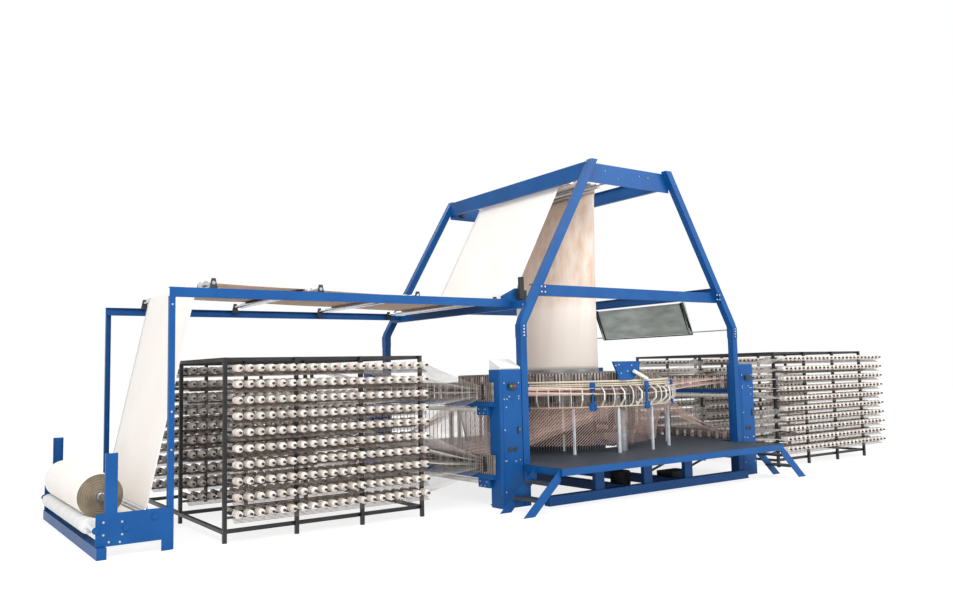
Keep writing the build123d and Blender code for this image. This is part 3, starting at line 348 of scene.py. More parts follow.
# Drive and the fixed centre of the head: cast and turned steel under the deck and in the ring.
# The main motor is a finned casting that drives the shaft's pulley through a rubber belt.
turned_steel = mottled("turned_steel", (0.42, 0.43, 0.45), (0.30, 0.31, 0.33), 5, (0.25, 0.42), 0.95,
                       bump=0.1, bump_scale=150, stretch=(1, 1, 8))
belt_black = mottled("belt_black", (0.01, 0.01, 0.01), (0.025, 0.025, 0.025), 20, (0.6, 0.8), 0, 0.3, 200)
dress(cast_dark, "cam_housing", "drive_pulley", "motor_pulley", "motors", "electric_boxes")
dress(turned_steel, "centre_column", "main_shaft", "shuttle_rotor", "weaving_ring", "oil_tank", "roll_shaft")
dress(belt_black, "drive_belt")
motor_place = (-0.18, -1.5)
motor_radius = 0.13
fin_reach = 0.012
fin_count = 30
fin_foot = 0.06
fin_top = 0.24
fin = block((motor_radius - fin_reach, -0.002, fin_foot), (motor_radius + fin_reach, 0.002, fin_top), 0.0008)
fin_places = [Matrix.Translation((*motor_place, 0)) @ Matrix.Rotation(2 * math.pi * k / fin_count, 4, "Z")
              for k in range(fin_count)]
seat(copies(fin, fin_places), "motor_fins", cast_dark)

# Reed and healds: hardened steel wires close together, the shuttles' track and the shed's lifters.
# Springs draw the healds down, and a ring of bronze comb teeth spaces the tapes before them.
wire_steel = mottled("wire_steel", (0.20, 0.19, 0.18), (0.42, 0.40, 0.37), 12, (0.3, 0.5), 0.7)
dark_steel = mottled("dark_steel", (0.03, 0.03, 0.032), (0.07, 0.07, 0.07), 8, (0.35, 0.55), 0.6)
dress(wire_steel, "reed_ring")
comb_bronze = mottled("comb_bronze", (0.26, 0.20, 0.175), (0.46, 0.38, 0.34), 14, (0.4, 0.6), 0.2)
pillar_grey = mottled("pillar_grey", (0.62, 0.66, 0.70), (0.44, 0.48, 0.53), 7, (0.25, 0.45), 0.2)
dress(dark_steel, "heald_frame_outer", "heald_frame_inner")
dress(pillar_grey, "head_pillars")


def overlaid(material, share, colour):
    """Lays a second colour over a finish, by a share from nought to one."""
    tree = material.node_tree
    tint = tree.nodes.new("ShaderNodeMix")
    tint.data_type = "RGBA"
    tint.inputs[7].default_value = (*colour, 1)
    base = tree.nodes["Principled BSDF"].inputs["Base Color"]
    tree.links.new(share, tint.inputs[0])
    tree.links.new(base.links[0].from_socket, tint.inputs[6])
    tree.links.new(tint.outputs[2], base)


def toothed(material, along_ring, teeth):
    """Painted shade in the gaps between the teeth of a comb, teeth to the turn of a ring or to the metre
    along Y.
    """
    tree = material.node_tree
    place = tree.nodes.new("ShaderNodeTexCoord")
    if along_ring:
        along = tree.nodes.new("ShaderNodeTexGradient")
        along.gradient_type = "RADIAL"
        reach = along.outputs["Fac"]
    else:
        along = tree.nodes.new("ShaderNodeSeparateXYZ")
        reach = along.outputs["Y"]
    tree.links.new(place.outputs["Object"], along.inputs["Vector"])
    part = maths(tree, "FRACT", maths(tree, "MULTIPLY", reach, teeth))
    # The gaps are painted near black, painted shade between the teeth.
    overlaid(material, maths(tree, "GREATER_THAN", part, 0.5), (0.035, 0.03, 0.028))


comb_slots = mottled("comb_slots", (0.30, 0.25, 0.22), (0.52, 0.45, 0.41), 14, (0.4, 0.6), 0.2)
comb_tooth_count = 216
toothed(comb_slots, True, comb_tooth_count)
dress(comb_slots, "comb_ring")


def ring_of(original, count, start=0.0):
    """Copies a piece at even steps round the head's axis."""
    return copies(original, [Matrix.Rotation(start + 2 * math.pi * k / count, 4, "Z") for k in range(count)])


wire_count = 240
wire_half = 0.0015
wire_outset = 1.003
for name, node in (("heald_wires_outer", "heald_frame_outer"), ("heald_wires_inner", "heald_frame_inner")):
    heald_low, heald_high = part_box(node)
    wire_radius = (heald_high.y - 0.006) * wire_outset
    wire = block((wire_radius - wire_half, -wire_half, heald_low.z + 0.03),
                 (wire_radius + wire_half, wire_half, heald_high.z - 0.03), 0.0004)
    seat(ring_of(wire, wire_count), name, wire_steel, node.replace("heald_frame", "heald"))
spring_radius = 1.15
spring_count = 180
spring_foot = 0.522
spring_top = 0.745
spring = block((spring_radius - 0.0025, -0.003, spring_foot),
               (spring_radius + 0.0025, 0.003, spring_top), 0.0008)
seat(ring_of(spring, spring_count), "heald_springs", wire_steel)
reed_low, reed_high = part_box("reed_ring")
reed_radius = 0.899
reed_wire = block((reed_radius - 0.003, -wire_half, reed_low.z + 0.1),
                  (reed_radius + 0.003, wire_half, reed_high.z - 0.02), 0.0004)
seat(ring_of(reed_wire, wire_count), "reed_wires", wire_steel)
comb_low, comb_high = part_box("comb_ring")
comb_radius = 1.56
comb_tooth = block((comb_radius - 0.006, -0.004, comb_low.z + 0.01),
                   (comb_radius + 0.006, 0.004, comb_high.z), 0.001)
seat(ring_of(comb_tooth, comb_tooth_count, 0.007), "comb_teeth", comb_bronze)

# Shuttles: glossy pale moulded boats that run round inside the reed.
# Each carries a weft bobbin of flat tape, which has its own section below.
shuttle_gloss = mottled("shuttle_gloss", (0.82, 0.82, 0.80), (0.72, 0.72, 0.70), 8, (0.15, 0.3))
dress(shuttle_gloss, "shuttles")

# Guide rings: two cream-painted steel rings with two round rails above, on square spacers.
# Thin upright bars between the two rings lead the tapes in.
cream_paint = mottled("cream_paint", (0.66, 0.60, 0.47), (0.50, 0.45, 0.35), 5, (0.3, 0.5),
                      bump=0.15, bump_scale=150)
ring_low, ring_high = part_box("guide_rings")
ring_radius = 1.70
ring_half = 0.011
ring_half_width = 0.052
rail_half = 0.014
thin_rail_half = 0.010
thin_rail_z = 1.478
lower_ring_top = ring_low.z + 2 * ring_half
upper_ring_foot = 1.44
spacer_half = 0.010
spacer_foot = 1.455
spacer_count = 12
spacer_turn = math.radians(5)
guide_bar_count = 180
guide_bar_inset = 0.045
guide_bar_depth = 0.012
ring_pieces = []
for z, half_width, half_height in ((ring_low.z + ring_half, ring_half_width, ring_half),
                                   (upper_ring_foot + ring_half, ring_half_width, ring_half),
                                   (ring_high.z - rail_half, rail_half, rail_half),
                                   (thin_rail_z, thin_rail_half, thin_rail_half)):
    bpy.ops.mesh.primitive_torus_add(major_radius=ring_radius, minor_radius=half_width, major_segments=144,
                                     minor_segments=12, location=(0, 0, z))
    ring = bpy.context.object
    ring.scale = (1, 1, half_height / half_width)
    settle(ring)
    bpy.ops.object.shade_smooth()
    ring_pieces.append(ring)
spacer = block((ring_radius - spacer_half, -spacer_half, spacer_foot),
               (ring_radius + spacer_half, spacer_half, ring_high.z - rail_half), 0.003)
ring_pieces.append(ring_of(spacer, spacer_count, spacer_turn))
guide_rings = seat(joined(ring_pieces), "guide_ring_rails", cream_paint)
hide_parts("guide_rings")
guide_bar = block((ring_radius - guide_bar_inset, -0.003, lower_ring_top),
                  (ring_radius - guide_bar_inset + guide_bar_depth, 0.003, upper_ring_foot), 0.001)
seat(ring_of(guide_bar, guide_bar_count, 0.01), "ring_guide_bars", wire_steel)

# Pale hooks between the guide rings: enamelled steel, some flat and some of bent round wire.
# They bow outwards from ring to ring and keep the tapes apart.
hook_white = mottled("hook_white", (0.85, 0.84, 0.80), (0.70, 0.69, 0.64), 10, (0.2, 0.4))
dress(hook_white, "tension_hooks")
hook_place = (1.72, 0, (upper_ring_foot + lower_ring_top) / 2)
hook_reach = 0.088
hook_half_height = 0.134
hook_wire = 0.008
hook_count = 36
bpy.ops.object.select_all(action="DESELECT")
bpy.ops.mesh.primitive_torus_add(major_radius=hook_reach, minor_radius=hook_wire, major_segments=28,
                                 minor_segments=6, location=hook_place, rotation=(math.pi / 2, 0, 0))
hook = bpy.context.object
pick(hook)
bpy.ops.object.transform_apply(location=False, rotation=True, scale=False)
hook.scale = (1, 1, hook_half_height / hook_reach)
settle(hook)
bpy.ops.object.mode_set(mode="EDIT")
bpy.ops.mesh.select_mode(type="VERT")
bpy.ops.mesh.select_all(action="DESELECT")
bpy.ops.object.mode_set(mode="OBJECT")
for vertex in hook.data.vertices:
    vertex.select = vertex.co.x < hook_place[0] - 0.001
bpy.ops.object.mode_set(mode="EDIT")
bpy.ops.mesh.delete(type="VERT")
bpy.ops.mesh.select_all(action="SELECT")
bpy.ops.mesh.fill_holes(sides=0)
bpy.ops.mesh.normals_make_consistent(inside=False)
bpy.ops.object.mode_set(mode="OBJECT")
bpy.ops.object.shade_smooth_by_angle(angle=math.radians(60))
hook_turns = [Matrix.Rotation(spacer_turn + 2 * math.pi * k / hook_count, 4, "Z")
              for k in range(hook_count) if k % 3]
seat(copies(hook, hook_turns), "tape_hooks", hook_white)

# Ring clamps: blue castings at the guide rings' joints, with a cap over the upper ring and a foot.
# They stand on the outside of the rings, over the plain brackets.
clamp_reach = ring_radius + 0.050
clamp_cap_half = 0.040
clamp_cap_foot = 1.400
clamp_cap_top = 1.505
clamp_foot_half = 0.052
clamp_foot_low = 1.115
clamp_foot_high = 1.215
clamp_cap = block((clamp_reach, -clamp_cap_half, clamp_cap_foot),
                  (clamp_reach + 0.028, clamp_cap_half, clamp_cap_top), 0.006)
clamp_foot = block((clamp_reach, -clamp_foot_half, clamp_foot_low),
                   (clamp_reach + 0.032, clamp_foot_half, clamp_foot_high), 0.008)
clamp = joined([clamp_cap, clamp_foot])
seat(ring_of(clamp, spacer_count, spacer_turn), "ring_clamps", machine_blue)

# Gate in the near side of the ring: a blue plate with a pale tube for the broken-tape feeler.
# The plate is bolted on, and the tube slants down beside its right end.
gate_face = -1.716
gate_bolt_spots = ((-0.40, 1.73), (-0.34, 1.74), (-0.17, 1.65), (-0.30, 1.62), (-0.09, 1.73))
gate_bolts = [(x, gate_face, z) for x, z in gate_bolt_spots]
seat(copies(stud(0.011, 0.008), gate_bolts), "gate_bolts", zinc)
feeler_radius = 0.026
feeler_length = 0.29
feeler_place = (0.045, -1.75, 1.59)
feeler_slant = 1.99
bpy.ops.object.select_all(action="DESELECT")
bpy.ops.mesh.primitive_cylinder_add(vertices=24, radius=feeler_radius, depth=feeler_length,
                                    location=feeler_place, rotation=(0, feeler_slant, 0))
feeler = bpy.context.object
rounded(feeler, 0.005, 2)
seat(feeler, "feeler_tube", hook_white)

# Control box and buttons: a pale sloped hood of sheet steel on the near left column.
# The push buttons have green and red plastic caps, and a dark seam runs below the hood's front.
hood_paint = mottled("hood_paint", (0.80, 0.80, 0.78), (0.72, 0.72, 0.70), 4, (0.3, 0.45),
                     bump=0.1, bump_scale=200)
green_cap = mottled("green_cap", (0.01, 0.30, 0.06), (0.012, 0.36, 0.08), 20, (0.2, 0.3))
red_cap = mottled("red_cap", (0.50, 0.012, 0.01), (0.58, 0.02, 0.015), 20, (0.2, 0.3))
dress(hood_paint, "control_box")
dress(green_cap, "start_button")
dress(red_cap, "stop_button")
hood_low, hood_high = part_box("control_box")
seam = block((hood_low.x + 0.01, hood_low.y - 0.002, hood_low.z + 0.004),
             (hood_high.x - 0.01, hood_low.y + 0.004, hood_low.z + 0.010), 0.001)
seat(seam, "hood_seam", black_plastic)

# Creels: black square tube racks, and rows of bobbins on steel pins.
# A bobbin is a pale cross-wound package of flat tape on a dark core, with a tape guide before it.
rack_black = mottled("rack_black", (0.008, 0.008, 0.009), (0.02, 0.02, 0.022), 6, (0.3, 0.5),
                     bump=0.1, bump_scale=150)
dress(rack_black, "creel_frames")
package = mottled("package_tape", (0.86, 0.82, 0.77), (0.46, 0.38, 0.32), 9, (0.35, 0.6),
                  bump=0.5, bump_scale=120, stretch=(1, 6, 1))
# The inner bobbins take a darker copy of the package finish, painted shade inside the racks.
shaded_package = mottled("package_in_shade", (0.66, 0.62, 0.57), (0.30, 0.25, 0.22), 9, (0.35, 0.6),
                         bump=0.5, bump_scale=120, stretch=(1, 6, 1))
# The tapes along the rows are real, but are painted near black to dark brown, far darker than the tape:
# painted shade between the rows of bobbins.
tape_with_painted_shade = mottled("tape_with_painted_shade", (0.035, 0.028, 0.025), (0.28, 0.21, 0.17), 9, (0.3, 0.5),
                     stretch=(2, 1, 3))
bobbin_pitch = 0.118
row_pitch = 0.165
row_count = 10
strips_in_row = 5
package_radius = 0.03854
bobbin_length = 0.150
shoulder = 0.018
shoulder_rise = 1.3
pin_radius = 0.014
pin_overrun = 0.034
pin_plate_radius = 0.030
rail_depth = 0.036
rail_thickness = 0.02
rail_overhang = 0.05
rail_half_height = 0.012
guide_reach = 0.056
guide_drop = 0.060
guide_wire = 0.004
guide_length = 0.10
strips_drop = 0.050
strip_gap = 0.022
strip_fall = 0.009
strip_width = 0.006
first_row = 0.30


def spread(piece, columns, rows=row_count):
    """Repeats a piece along its row and up through the rows, keeping one mesh."""
    pick(piece)
    for count, step in ((columns, (bobbin_pitch, 0, 0)), (rows, (0, 0, row_pitch))):
        array = piece.modifiers.new("row", "ARRAY")
        array.use_relative_offset = False
        array.use_constant_offset = True
        array.constant_offset_displace = step
        array.count = count
        bpy.ops.object.modifier_apply(modifier=array.name)
    return piece


def edit_faces(piece, wanted):
    """Goes into edit mode with the wanted faces of a piece selected."""
    pick(piece)
    bpy.ops.object.mode_set(mode="EDIT")
    bpy.ops.mesh.select_mode(type="FACE")
    bpy.ops.mesh.select_all(action="DESELECT")
    bpy.ops.object.mode_set(mode="OBJECT")
    for face in piece.data.polygons:
        face.select = wanted(face)
    bpy.ops.object.mode_set(mode="EDIT")


def faces_along_y(face):
    """Whether a face is an end of a piece turned along Y."""
    return abs(face.normal.y) > 0.9


def turned(radius, y0, y1, sides, at, neck=0.0, rise=0.6):
    """A turned piece along Y from y0 to y1, narrowed at both ends by neck over rise times as much."""
    middle = (at[0], at[1] + (y0 + y1) / 2, at[2])
    bpy.ops.mesh.primitive_cylinder_add(vertices=sides, radius=radius, depth=abs(y1 - y0), location=middle,
                                        rotation=(math.pi / 2, 0, 0))
    piece = bpy.context.object
    settle(piece)
    if neck:
        edit_faces(piece, faces_along_y)
        bpy.ops.mesh.inset(thickness=neck, depth=neck * rise, use_individual=True)
        bpy.ops.object.mode_set(mode="OBJECT")
    return piece


def bobbin_face(first_x, columns, face_y, toward, sides):
    """Packages, pins and rails for one face of a rack, and the tapes that run along its rows."""
    start = (first_x, face_y + toward * rail_depth, first_row)
    wound = turned(package_radius, toward * shoulder, toward * (bobbin_length - shoulder), sides, start,
                   shoulder, shoulder_rise)
    packages = spread(wound, columns)
    pin = turned(pin_radius, 0, toward * (bobbin_length + pin_overrun), max(6, sides // 2), start)
    cores = [spread(pin, columns)]
    end_x = first_x + (columns - 1) * bobbin_pitch
    rail = block((first_x - rail_overhang, face_y, first_row - rail_half_height),
                 (end_x + rail_overhang, face_y + toward * rail_thickness, first_row + rail_half_height))
    cores.append(spread(rail, 1))
    guide_x = first_x + guide_reach
    guide_z = first_row - guide_drop
    guide = block((guide_x, face_y, guide_z),
                  (guide_x + guide_wire, face_y + toward * guide_length, guide_z + guide_wire), 0.0005)
    cores.append(spread(guide, columns))
    pin_plate = turned(pin_plate_radius, toward * 0.002, toward * 0.006, max(8, sides), start)
    cores.append(spread(pin_plate, columns))
    strips = []
    for k in range(strips_in_row):
        strip_y = face_y + toward * (0.05 + strip_gap * k)
        strip_z = first_row - strips_drop - strip_fall * k
        strip = block((first_x - 0.04, strip_y, strip_z),
                      (end_x + rail_overhang, strip_y + 0.001, strip_z + strip_width), 0.0002)
        strips.append(spread(strip, 1))
    return packages, joined(cores), joined(strips)


half_post = 0.020
rack_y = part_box("creel_frames")[1].y - half_post
left_columns = 20
right_columns = 25
left_creel_x = 3.48
right_creel_x = 3.38
near_sides = 14
inner_sides = 8
inner_faces = ((half_post - rack_y, 1), (-half_post, -1), (half_post, 1), (rack_y - half_post, -1),
               (rack_y + half_post, 1))
creels = ((-left_creel_x - left_columns * bobbin_pitch + bobbin_pitch / 2, left_columns),
          (right_creel_x + bobbin_pitch / 2, right_columns))
near_packages = []
near_cores = []
inner_packages = []
inner_cores = []
row_strips = []
for first_x, columns in creels:
    packages, cores, strips = bobbin_face(first_x, columns, -rack_y - half_post, -1, near_sides)
    near_packages.append(packages)
    near_cores.append(cores)
    row_strips.append(strips)
    for face_y, toward in inner_faces:
        packages, cores, strips = bobbin_face(first_x, columns, face_y, toward, inner_sides)
        inner_packages.append(packages)
        inner_cores.append(cores)
        row_strips.append(strips)
near_all = seat(joined(near_packages), "near_bobbins", package)
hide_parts("bobbin_rows_near")
seat(joined(near_cores), "near_bobbin_pins", rack_black)
inner_all = seat(joined(inner_packages), "inner_bobbins", shaded_package)
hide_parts("bobbin_rows_inner")
seat(joined(inner_cores), "inner_bobbin_pins", rack_black)
seat(joined(row_strips), "row_tapes", tape_with_painted_shade)

# Warp inlets: a comb of thin steel wires on each blue bar, and a pale roller in brackets below it.
# The wires stand in the comb's slots, the brackets are bolted on, and thin rods join the two bars.
inlet_bronze = mottled("inlet_bronze", (0.20, 0.17, 0.155), (0.40, 0.35, 0.32), 14, (0.4, 0.6), 0.2)
inlet_teeth_per_metre = 25
# The inlet combs get the same painted shade in the gaps between their teeth.
toothed(inlet_bronze, False, inlet_teeth_per_metre)
dress(inlet_bronze, "inlet_combs")
comb_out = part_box("inlet_combs")[1].x
comb_in = comb_out - 0.040
comb_middle = comb_out - 0.020
inlet_bars = (1.25, 0.35)
inlet_wire_step = 0.02
inlet_wires_each_way = 81
inlet_wire_half_length = 0.10
inlet_wire_rise = 0.18
inlet_roller_radius = 0.030
inlet_roller_half_length = 1.38
inlet_roller_drop = 0.045
bracket_drop = 0.055
inlet_end_y = 1.50
wire_places = []
roller_pieces = []
bracket_places = []
for side in (-1, 1):
    for bar_z in inlet_bars:
        for k in range(-inlet_wires_each_way, inlet_wires_each_way + 1):
            wire_places.append((side * comb_middle, k * inlet_wire_step, bar_z + inlet_wire_rise))
        inlet_roller = turned(inlet_roller_radius, -inlet_roller_half_length, inlet_roller_half_length, 20,
                              (side * comb_middle, 0, bar_z - inlet_roller_drop), 0.006)
        roller_pieces.append(inlet_roller)
        for end in (-1, 1):
            bracket_places.append((side * comb_middle, end * inlet_end_y, bar_z - bracket_drop))
inlet_wire = block((-wire_half, -wire_half, -inlet_wire_half_length),
                   (wire_half, wire_half, inlet_wire_half_length), 0.0004)
seat(copies(inlet_wire, wire_places), "inlet_wires", wire_steel)
seat(joined(roller_pieces), "inlet_rollers", hook_white)
bracket = block((-0.028, -0.12, -0.055), (0.028, 0.12, 0.054), 0.006)
seat(copies(bracket, bracket_places), "inlet_brackets", machine_blue)
rod_foot = 0.65
rod_top = 1.27
rod_count = 31
rod_places = [(side * comb_middle, inlet_end_y * (2 * k / (rod_count - 1) - 1), (rod_foot + rod_top) / 2)
              for side in (-1, 1) for k in range(rod_count)]
rod = stud(0.005, rod_top - rod_foot, 8, (0, 0, 0))
seat(copies(rod, rod_places), "inlet_rods", wire_steel)
bolt_spots = ((-0.07, 0.02), (0.07, 0.02), (-0.03, -0.03), (0.05, -0.03))
bracket_bolts = [(place[0] + math.copysign(0.031, place[0]), place[1] + y, place[2] + z)
                 for place in bracket_places for y, z in bolt_spots]
seat(copies(stud(0.010, 0.008, 6, (0, math.pi / 2, 0)), bracket_bolts), "bracket_bolts", zinc)

# Warp tapes: flat drawn plastic tape, a few millimetres wide, in one fan for each row and rack.
# They run from the rows to the inlet combs, and from the combs between the guide rings to the healds.
tape_pale = mottled("tape_pale", (0.60, 0.57, 0.53), (0.34, 0.30, 0.27), 6, (0.25, 0.45))
tape_pink = mottled("tape_pink", (0.78, 0.56, 0.48), (0.56, 0.38, 0.32), 6, (0.3, 0.5))
tapes_in_fan = 26
strip_count = 2 * tapes_in_fan - 1
runs_along = 4
tape_thickness = 0.0012
creel_tape_width = 0.004
head_tape_width = 0.003
row_spread = 0.34
comb_spread = 0.95
creel_sag = 0.012
rack_gather = 0.67
rows_in_comb = 5
ring_fan_degrees = 30
ring_fan_middles = (-75, -45, -15, 15, 45, 75)
layer_heights = (1.19, 1.24, 1.33, 1.40)
layer_degrees = 1.5
comb_way_per_degree = 0.016
tape_ring_radius = 1.72
bpy.ops.object.select_all(action="DESELECT")
bpy.ops.mesh.primitive_grid_add(x_subdivisions=runs_along, y_subdivisions=strip_count, size=2)
fan_pattern = bpy.context.object
edit_faces(fan_pattern, lambda face: int((face.center.y + 1) / 2 * strip_count) % 2 == 1)
bpy.ops.mesh.delete(type="FACE")
bpy.ops.object.mode_set(mode="OBJECT")


def fan_of(place_of):
    """One fan of tapes, each corner placed by its way along, its tape's share across and its side."""
    fan = fan_pattern.copy()
    fan.data = fan_pattern.data.copy()
    bpy.context.collection.objects.link(fan)
    for vertex in fan.data.vertices:
        strip = round((vertex.co.y + 1) / 2 * strip_count)
        vertex.co = place_of((vertex.co.x + 1) / 2, (strip // 2) / (tapes_in_fan - 1) - 0.5, strip % 2 - 0.5)
    return fan


def creel_fan(start, finish):
    """Tapes from a rack's row to an inlet comb, hanging a little between them."""
    def place_of(along, share, edge):
        width = row_spread + (comb_spread - row_spread) * along - creel_tape_width
        place = start.lerp(finish, along)
        place.y += share * width + edge * creel_tape_width
        place.z -= creel_sag * 4 * along * (1 - along)
        return place
    return fan_of(place_of)


def ring_fan(side, angle, comb_z, ring_z):
    """Tapes from an inlet comb to the guide rings, with the fan's middle at an angle in degrees."""
    def place_of(along, share, edge):
        degrees = angle + ring_fan_degrees * share
        turn = math.radians(degrees)
        shift = edge * head_tape_width
        start = Vector((side * comb_in, comb_way_per_degree * degrees + shift, comb_z))
        finish = Vector((side * (tape_ring_radius * math.cos(turn) - shift * math.sin(turn)),
                         tape_ring_radius * math.sin(turn) + shift * math.cos(turn), ring_z))
        return start.lerp(finish, along)
    return fan_of(place_of)


def thickened(piece, thickness):
    """Gives a sheet its thickness."""
    pick(piece)
    solid = piece.modifiers.new("thickness", "SOLIDIFY")
    solid.thickness = thickness
    solid.offset = 0
    bpy.ops.object.modifier_apply(modifier=solid.name)
    return piece


comb_foot = 0.089
comb_step = 0.19 / 6
outer_fans = []
inner_fans = []
for side, creel_x in ((-1, left_creel_x), (1, right_creel_x)):
    for row in range(row_count):
        comb_z = inlet_bars[1 - row // rows_in_comb] + comb_foot + (row % rows_in_comb + 1) * comb_step
        for y in (-rack_y, 0, rack_y):
            outer_fans.append(creel_fan(Vector((side * creel_x, y, first_row + row * row_pitch)),
                                        Vector((side * comb_out, y * rack_gather, comb_z))))
    for layer, ring_z in enumerate(layer_heights):
        comb_z = inlet_bars[1 - layer // 2] + comb_foot + comb_step * (3 + 2 * (layer % 2))
        for angle in ring_fan_middles:
            inner_fans.append(ring_fan(side, angle + layer_degrees * layer, comb_z, ring_z))
bpy.data.objects.remove(fan_pattern)
creel_tapes = seat(thickened(joined(outer_fans), tape_thickness), "creel_tapes", tape_pale)
seat(thickened(joined(inner_fans), tape_thickness), "head_tapes", tape_pink)
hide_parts("warp_tapes")

# Heald tapes: the warp goes in from the guide rings, down to the healds and up to the reed.
# Slanting tapes stand close together all round the head, seen between the pillars.
heald_tape_count = 216
heald_tape_top = (1.62, 0, 1.145)
heald_tape_length = 0.76
heald_tape_half = 0.0055
inward_lean = 0.40
sideways_lean = -0.72
shed_tape_count = 480
shed_tape_top = (1.54, 0, 1.60)
shed_tape_length = 0.44
shed_tape_half = 0.0025
shed_lean = 0.85
heald_tape = block((0, -heald_tape_half, -heald_tape_length), (0.001, heald_tape_half, 0), 0.0002)
heald_tape.data.transform(Matrix.Translation(heald_tape_top) @ Matrix.Rotation(inward_lean, 4, "Y") @
                          Matrix.Rotation(sideways_lean, 4, "X"))
seat(ring_of(heald_tape, heald_tape_count), "heald_tapes", tape_pink)
shed_tape = block((0, -shed_tape_half, -shed_tape_length), (0.001, shed_tape_half, 0), 0.0002)
shed_tape.data.transform(Matrix.Translation(shed_tape_top) @ Matrix.Rotation(shed_lean, 4, "Y"))
seat(ring_of(shed_tape, shed_tape_count), "comb_tapes", tape_pink)

# Weft bobbins: a spool of flat tape on each shuttle, between two thin flanges.
# They lie along the shuttles' way and go round with them.
wound_tape = mottled("wound_tape", (0.78, 0.74, 0.66), (0.62, 0.56, 0.48), 30, (0.35, 0.55),
                     bump=0.4, bump_scale=150, stretch=(1, 12, 1))
spool_count = 8
spool_place = (0.79, 0, 1.608)
spool_radius = 0.035
spool_half_length = 0.09
flange_radius = 0.0375
flange_y = 0.096
spool = turned(spool_radius, -spool_half_length, spool_half_length, 24, spool_place, 0.004)
rounded(spool, 0.004, 2)
seat(ring_of(spool, spool_count), "weft_spools", wound_tape, "rotor")
flanges = joined([turned(flange_radius, y - 0.003, y + 0.003, 24, spool_place, 0.003)
                  for y in (-flange_y, flange_y)])
weft_flanges = seat(ring_of(flanges, spool_count), "weft_flanges", black_plastic, "rotor")
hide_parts("weft_bobbins")

# Fabric tube: the woven sleeve rises from the weaving ring and flattens at the first top roller.
# It hangs in long upright creases between the ring and the roller.
cloth = mottled("woven_cloth", (0.82, 0.70, 0.61), (0.72, 0.52, 0.38), 3.5, (0.55, 0.75),
                stretch=(3, 3, 1))


def weave_relief(material, pitch):
    """Crossing tapes in relief, about a tape's width apart."""
    tree = material.node_tree
    place = tree.nodes.new("ShaderNodeTexCoord")
    bands = []
    for direction in ("X", "Y", "Z"):
        wave = tree.nodes.new("ShaderNodeTexWave")
        wave.bands_direction = direction
        wave.inputs["Scale"].default_value = 1 / pitch / 6.283
        tree.links.new(place.outputs["Object"], wave.inputs["Vector"])
        bands.append(wave.outputs["Fac"])
    crossing = maths(tree, "ADD", bands[0], bands[1])
    raised(material, maths(tree, "ADD", crossing, bands[2]), 0.35, 0.001)


def tinted(material, axis, span, stops, colour):
    """Lays a second colour over part of a finish, by place along an axis."""
    tree = material.node_tree
    place = tree.nodes.new("ShaderNodeTexCoord")
    split = tree.nodes.new("ShaderNodeSeparateXYZ")
    reach = tree.nodes.new("ShaderNodeMapRange")
    reach.inputs["From Min"].default_value = span[0]
    reach.inputs["From Max"].default_value = span[1]
    part = tree.nodes.new("ShaderNodeValToRGB")
    ends = part.color_ramp.elements
    ends[0].position = stops[0][0]
    ends[0].color = (stops[0][1], stops[0][1], stops[0][1], 1)
    ends[1].position = stops[-1][0]
    ends[1].color = (stops[-1][1], stops[-1][1], stops[-1][1], 1)
    for position, level in stops[1:-1]:
        ends.new(position).color = (level, level, level, 1)
    tree.links.new(place.outputs["Object"], split.inputs["Vector"])
    tree.links.new(split.outputs[axis], reach.inputs["Value"])
    tree.links.new(reach.outputs["Result"], part.inputs["Fac"])
    overlaid(material, part.outputs["Color"], colour)


weave_pitch = 0.004
weave_relief(cloth, weave_pitch)
# The tube is painted paler below about 2.6 m and tan above, painted light and shade on one cloth.
tinted(cloth, "Z", (1.6, 4.5), ((0.345, 1), (0.43, 0)), (0.87, 0.78, 0.70))
tube_low, tube_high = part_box("fabric_tube")
tube_radius = 0.65
tube_half_width = 1.0
tube_steps_round = 160
tube_steps_up = 48
flattening = 0.55
cloth_thickness = 0.0015
top_shift = 0.0022
crease_count = 9
crease_depth = 0.010
fine_crease_count = 23
fine_crease_depth = 0.006
edge_room = 0.012
flat_from = 0.98
bpy.ops.object.select_all(action="DESELECT")
bpy.ops.mesh.primitive_grid_add(x_subdivisions=tube_steps_round, y_subdivisions=tube_steps_up, size=2)
tube = bpy.context.object
for vertex in tube.data.vertices:
    turn = (vertex.co.x + 1) * math.pi
    up = (vertex.co.y + 1) / 2
    half_x = max(tube_radius * (1 - up) ** flattening, 0.002)
    half_y = tube_radius + (tube_half_width - tube_radius) * up
    crease = crease_depth * math.sin(crease_count * turn + 2 * up) * math.sin(math.pi * up)
    crease += fine_crease_depth * math.sin(fine_crease_count * turn) * up * (1 - up)
    vertex.co = ((half_x - crease * min(1, half_x / 0.2)) * math.cos(turn) - top_shift * up,
                 (half_y - edge_room - abs(crease) if up < flat_from else half_y) * math.sin(turn),
                 tube_low.z + (tube_high.z - tube_low.z) * up)
pick(tube)
bpy.ops.object.mode_set(mode="EDIT")
bpy.ops.mesh.select_all(action="SELECT")
bpy.ops.mesh.remove_doubles(threshold=0.0001)
bpy.ops.mesh.normals_make_consistent(inside=False)
bpy.ops.object.mode_set(mode="OBJECT")
bpy.ops.object.shade_smooth()
thickened(tube, cloth_thickness)
seat(tube, "woven_tube", cloth)
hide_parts("fabric_tube")

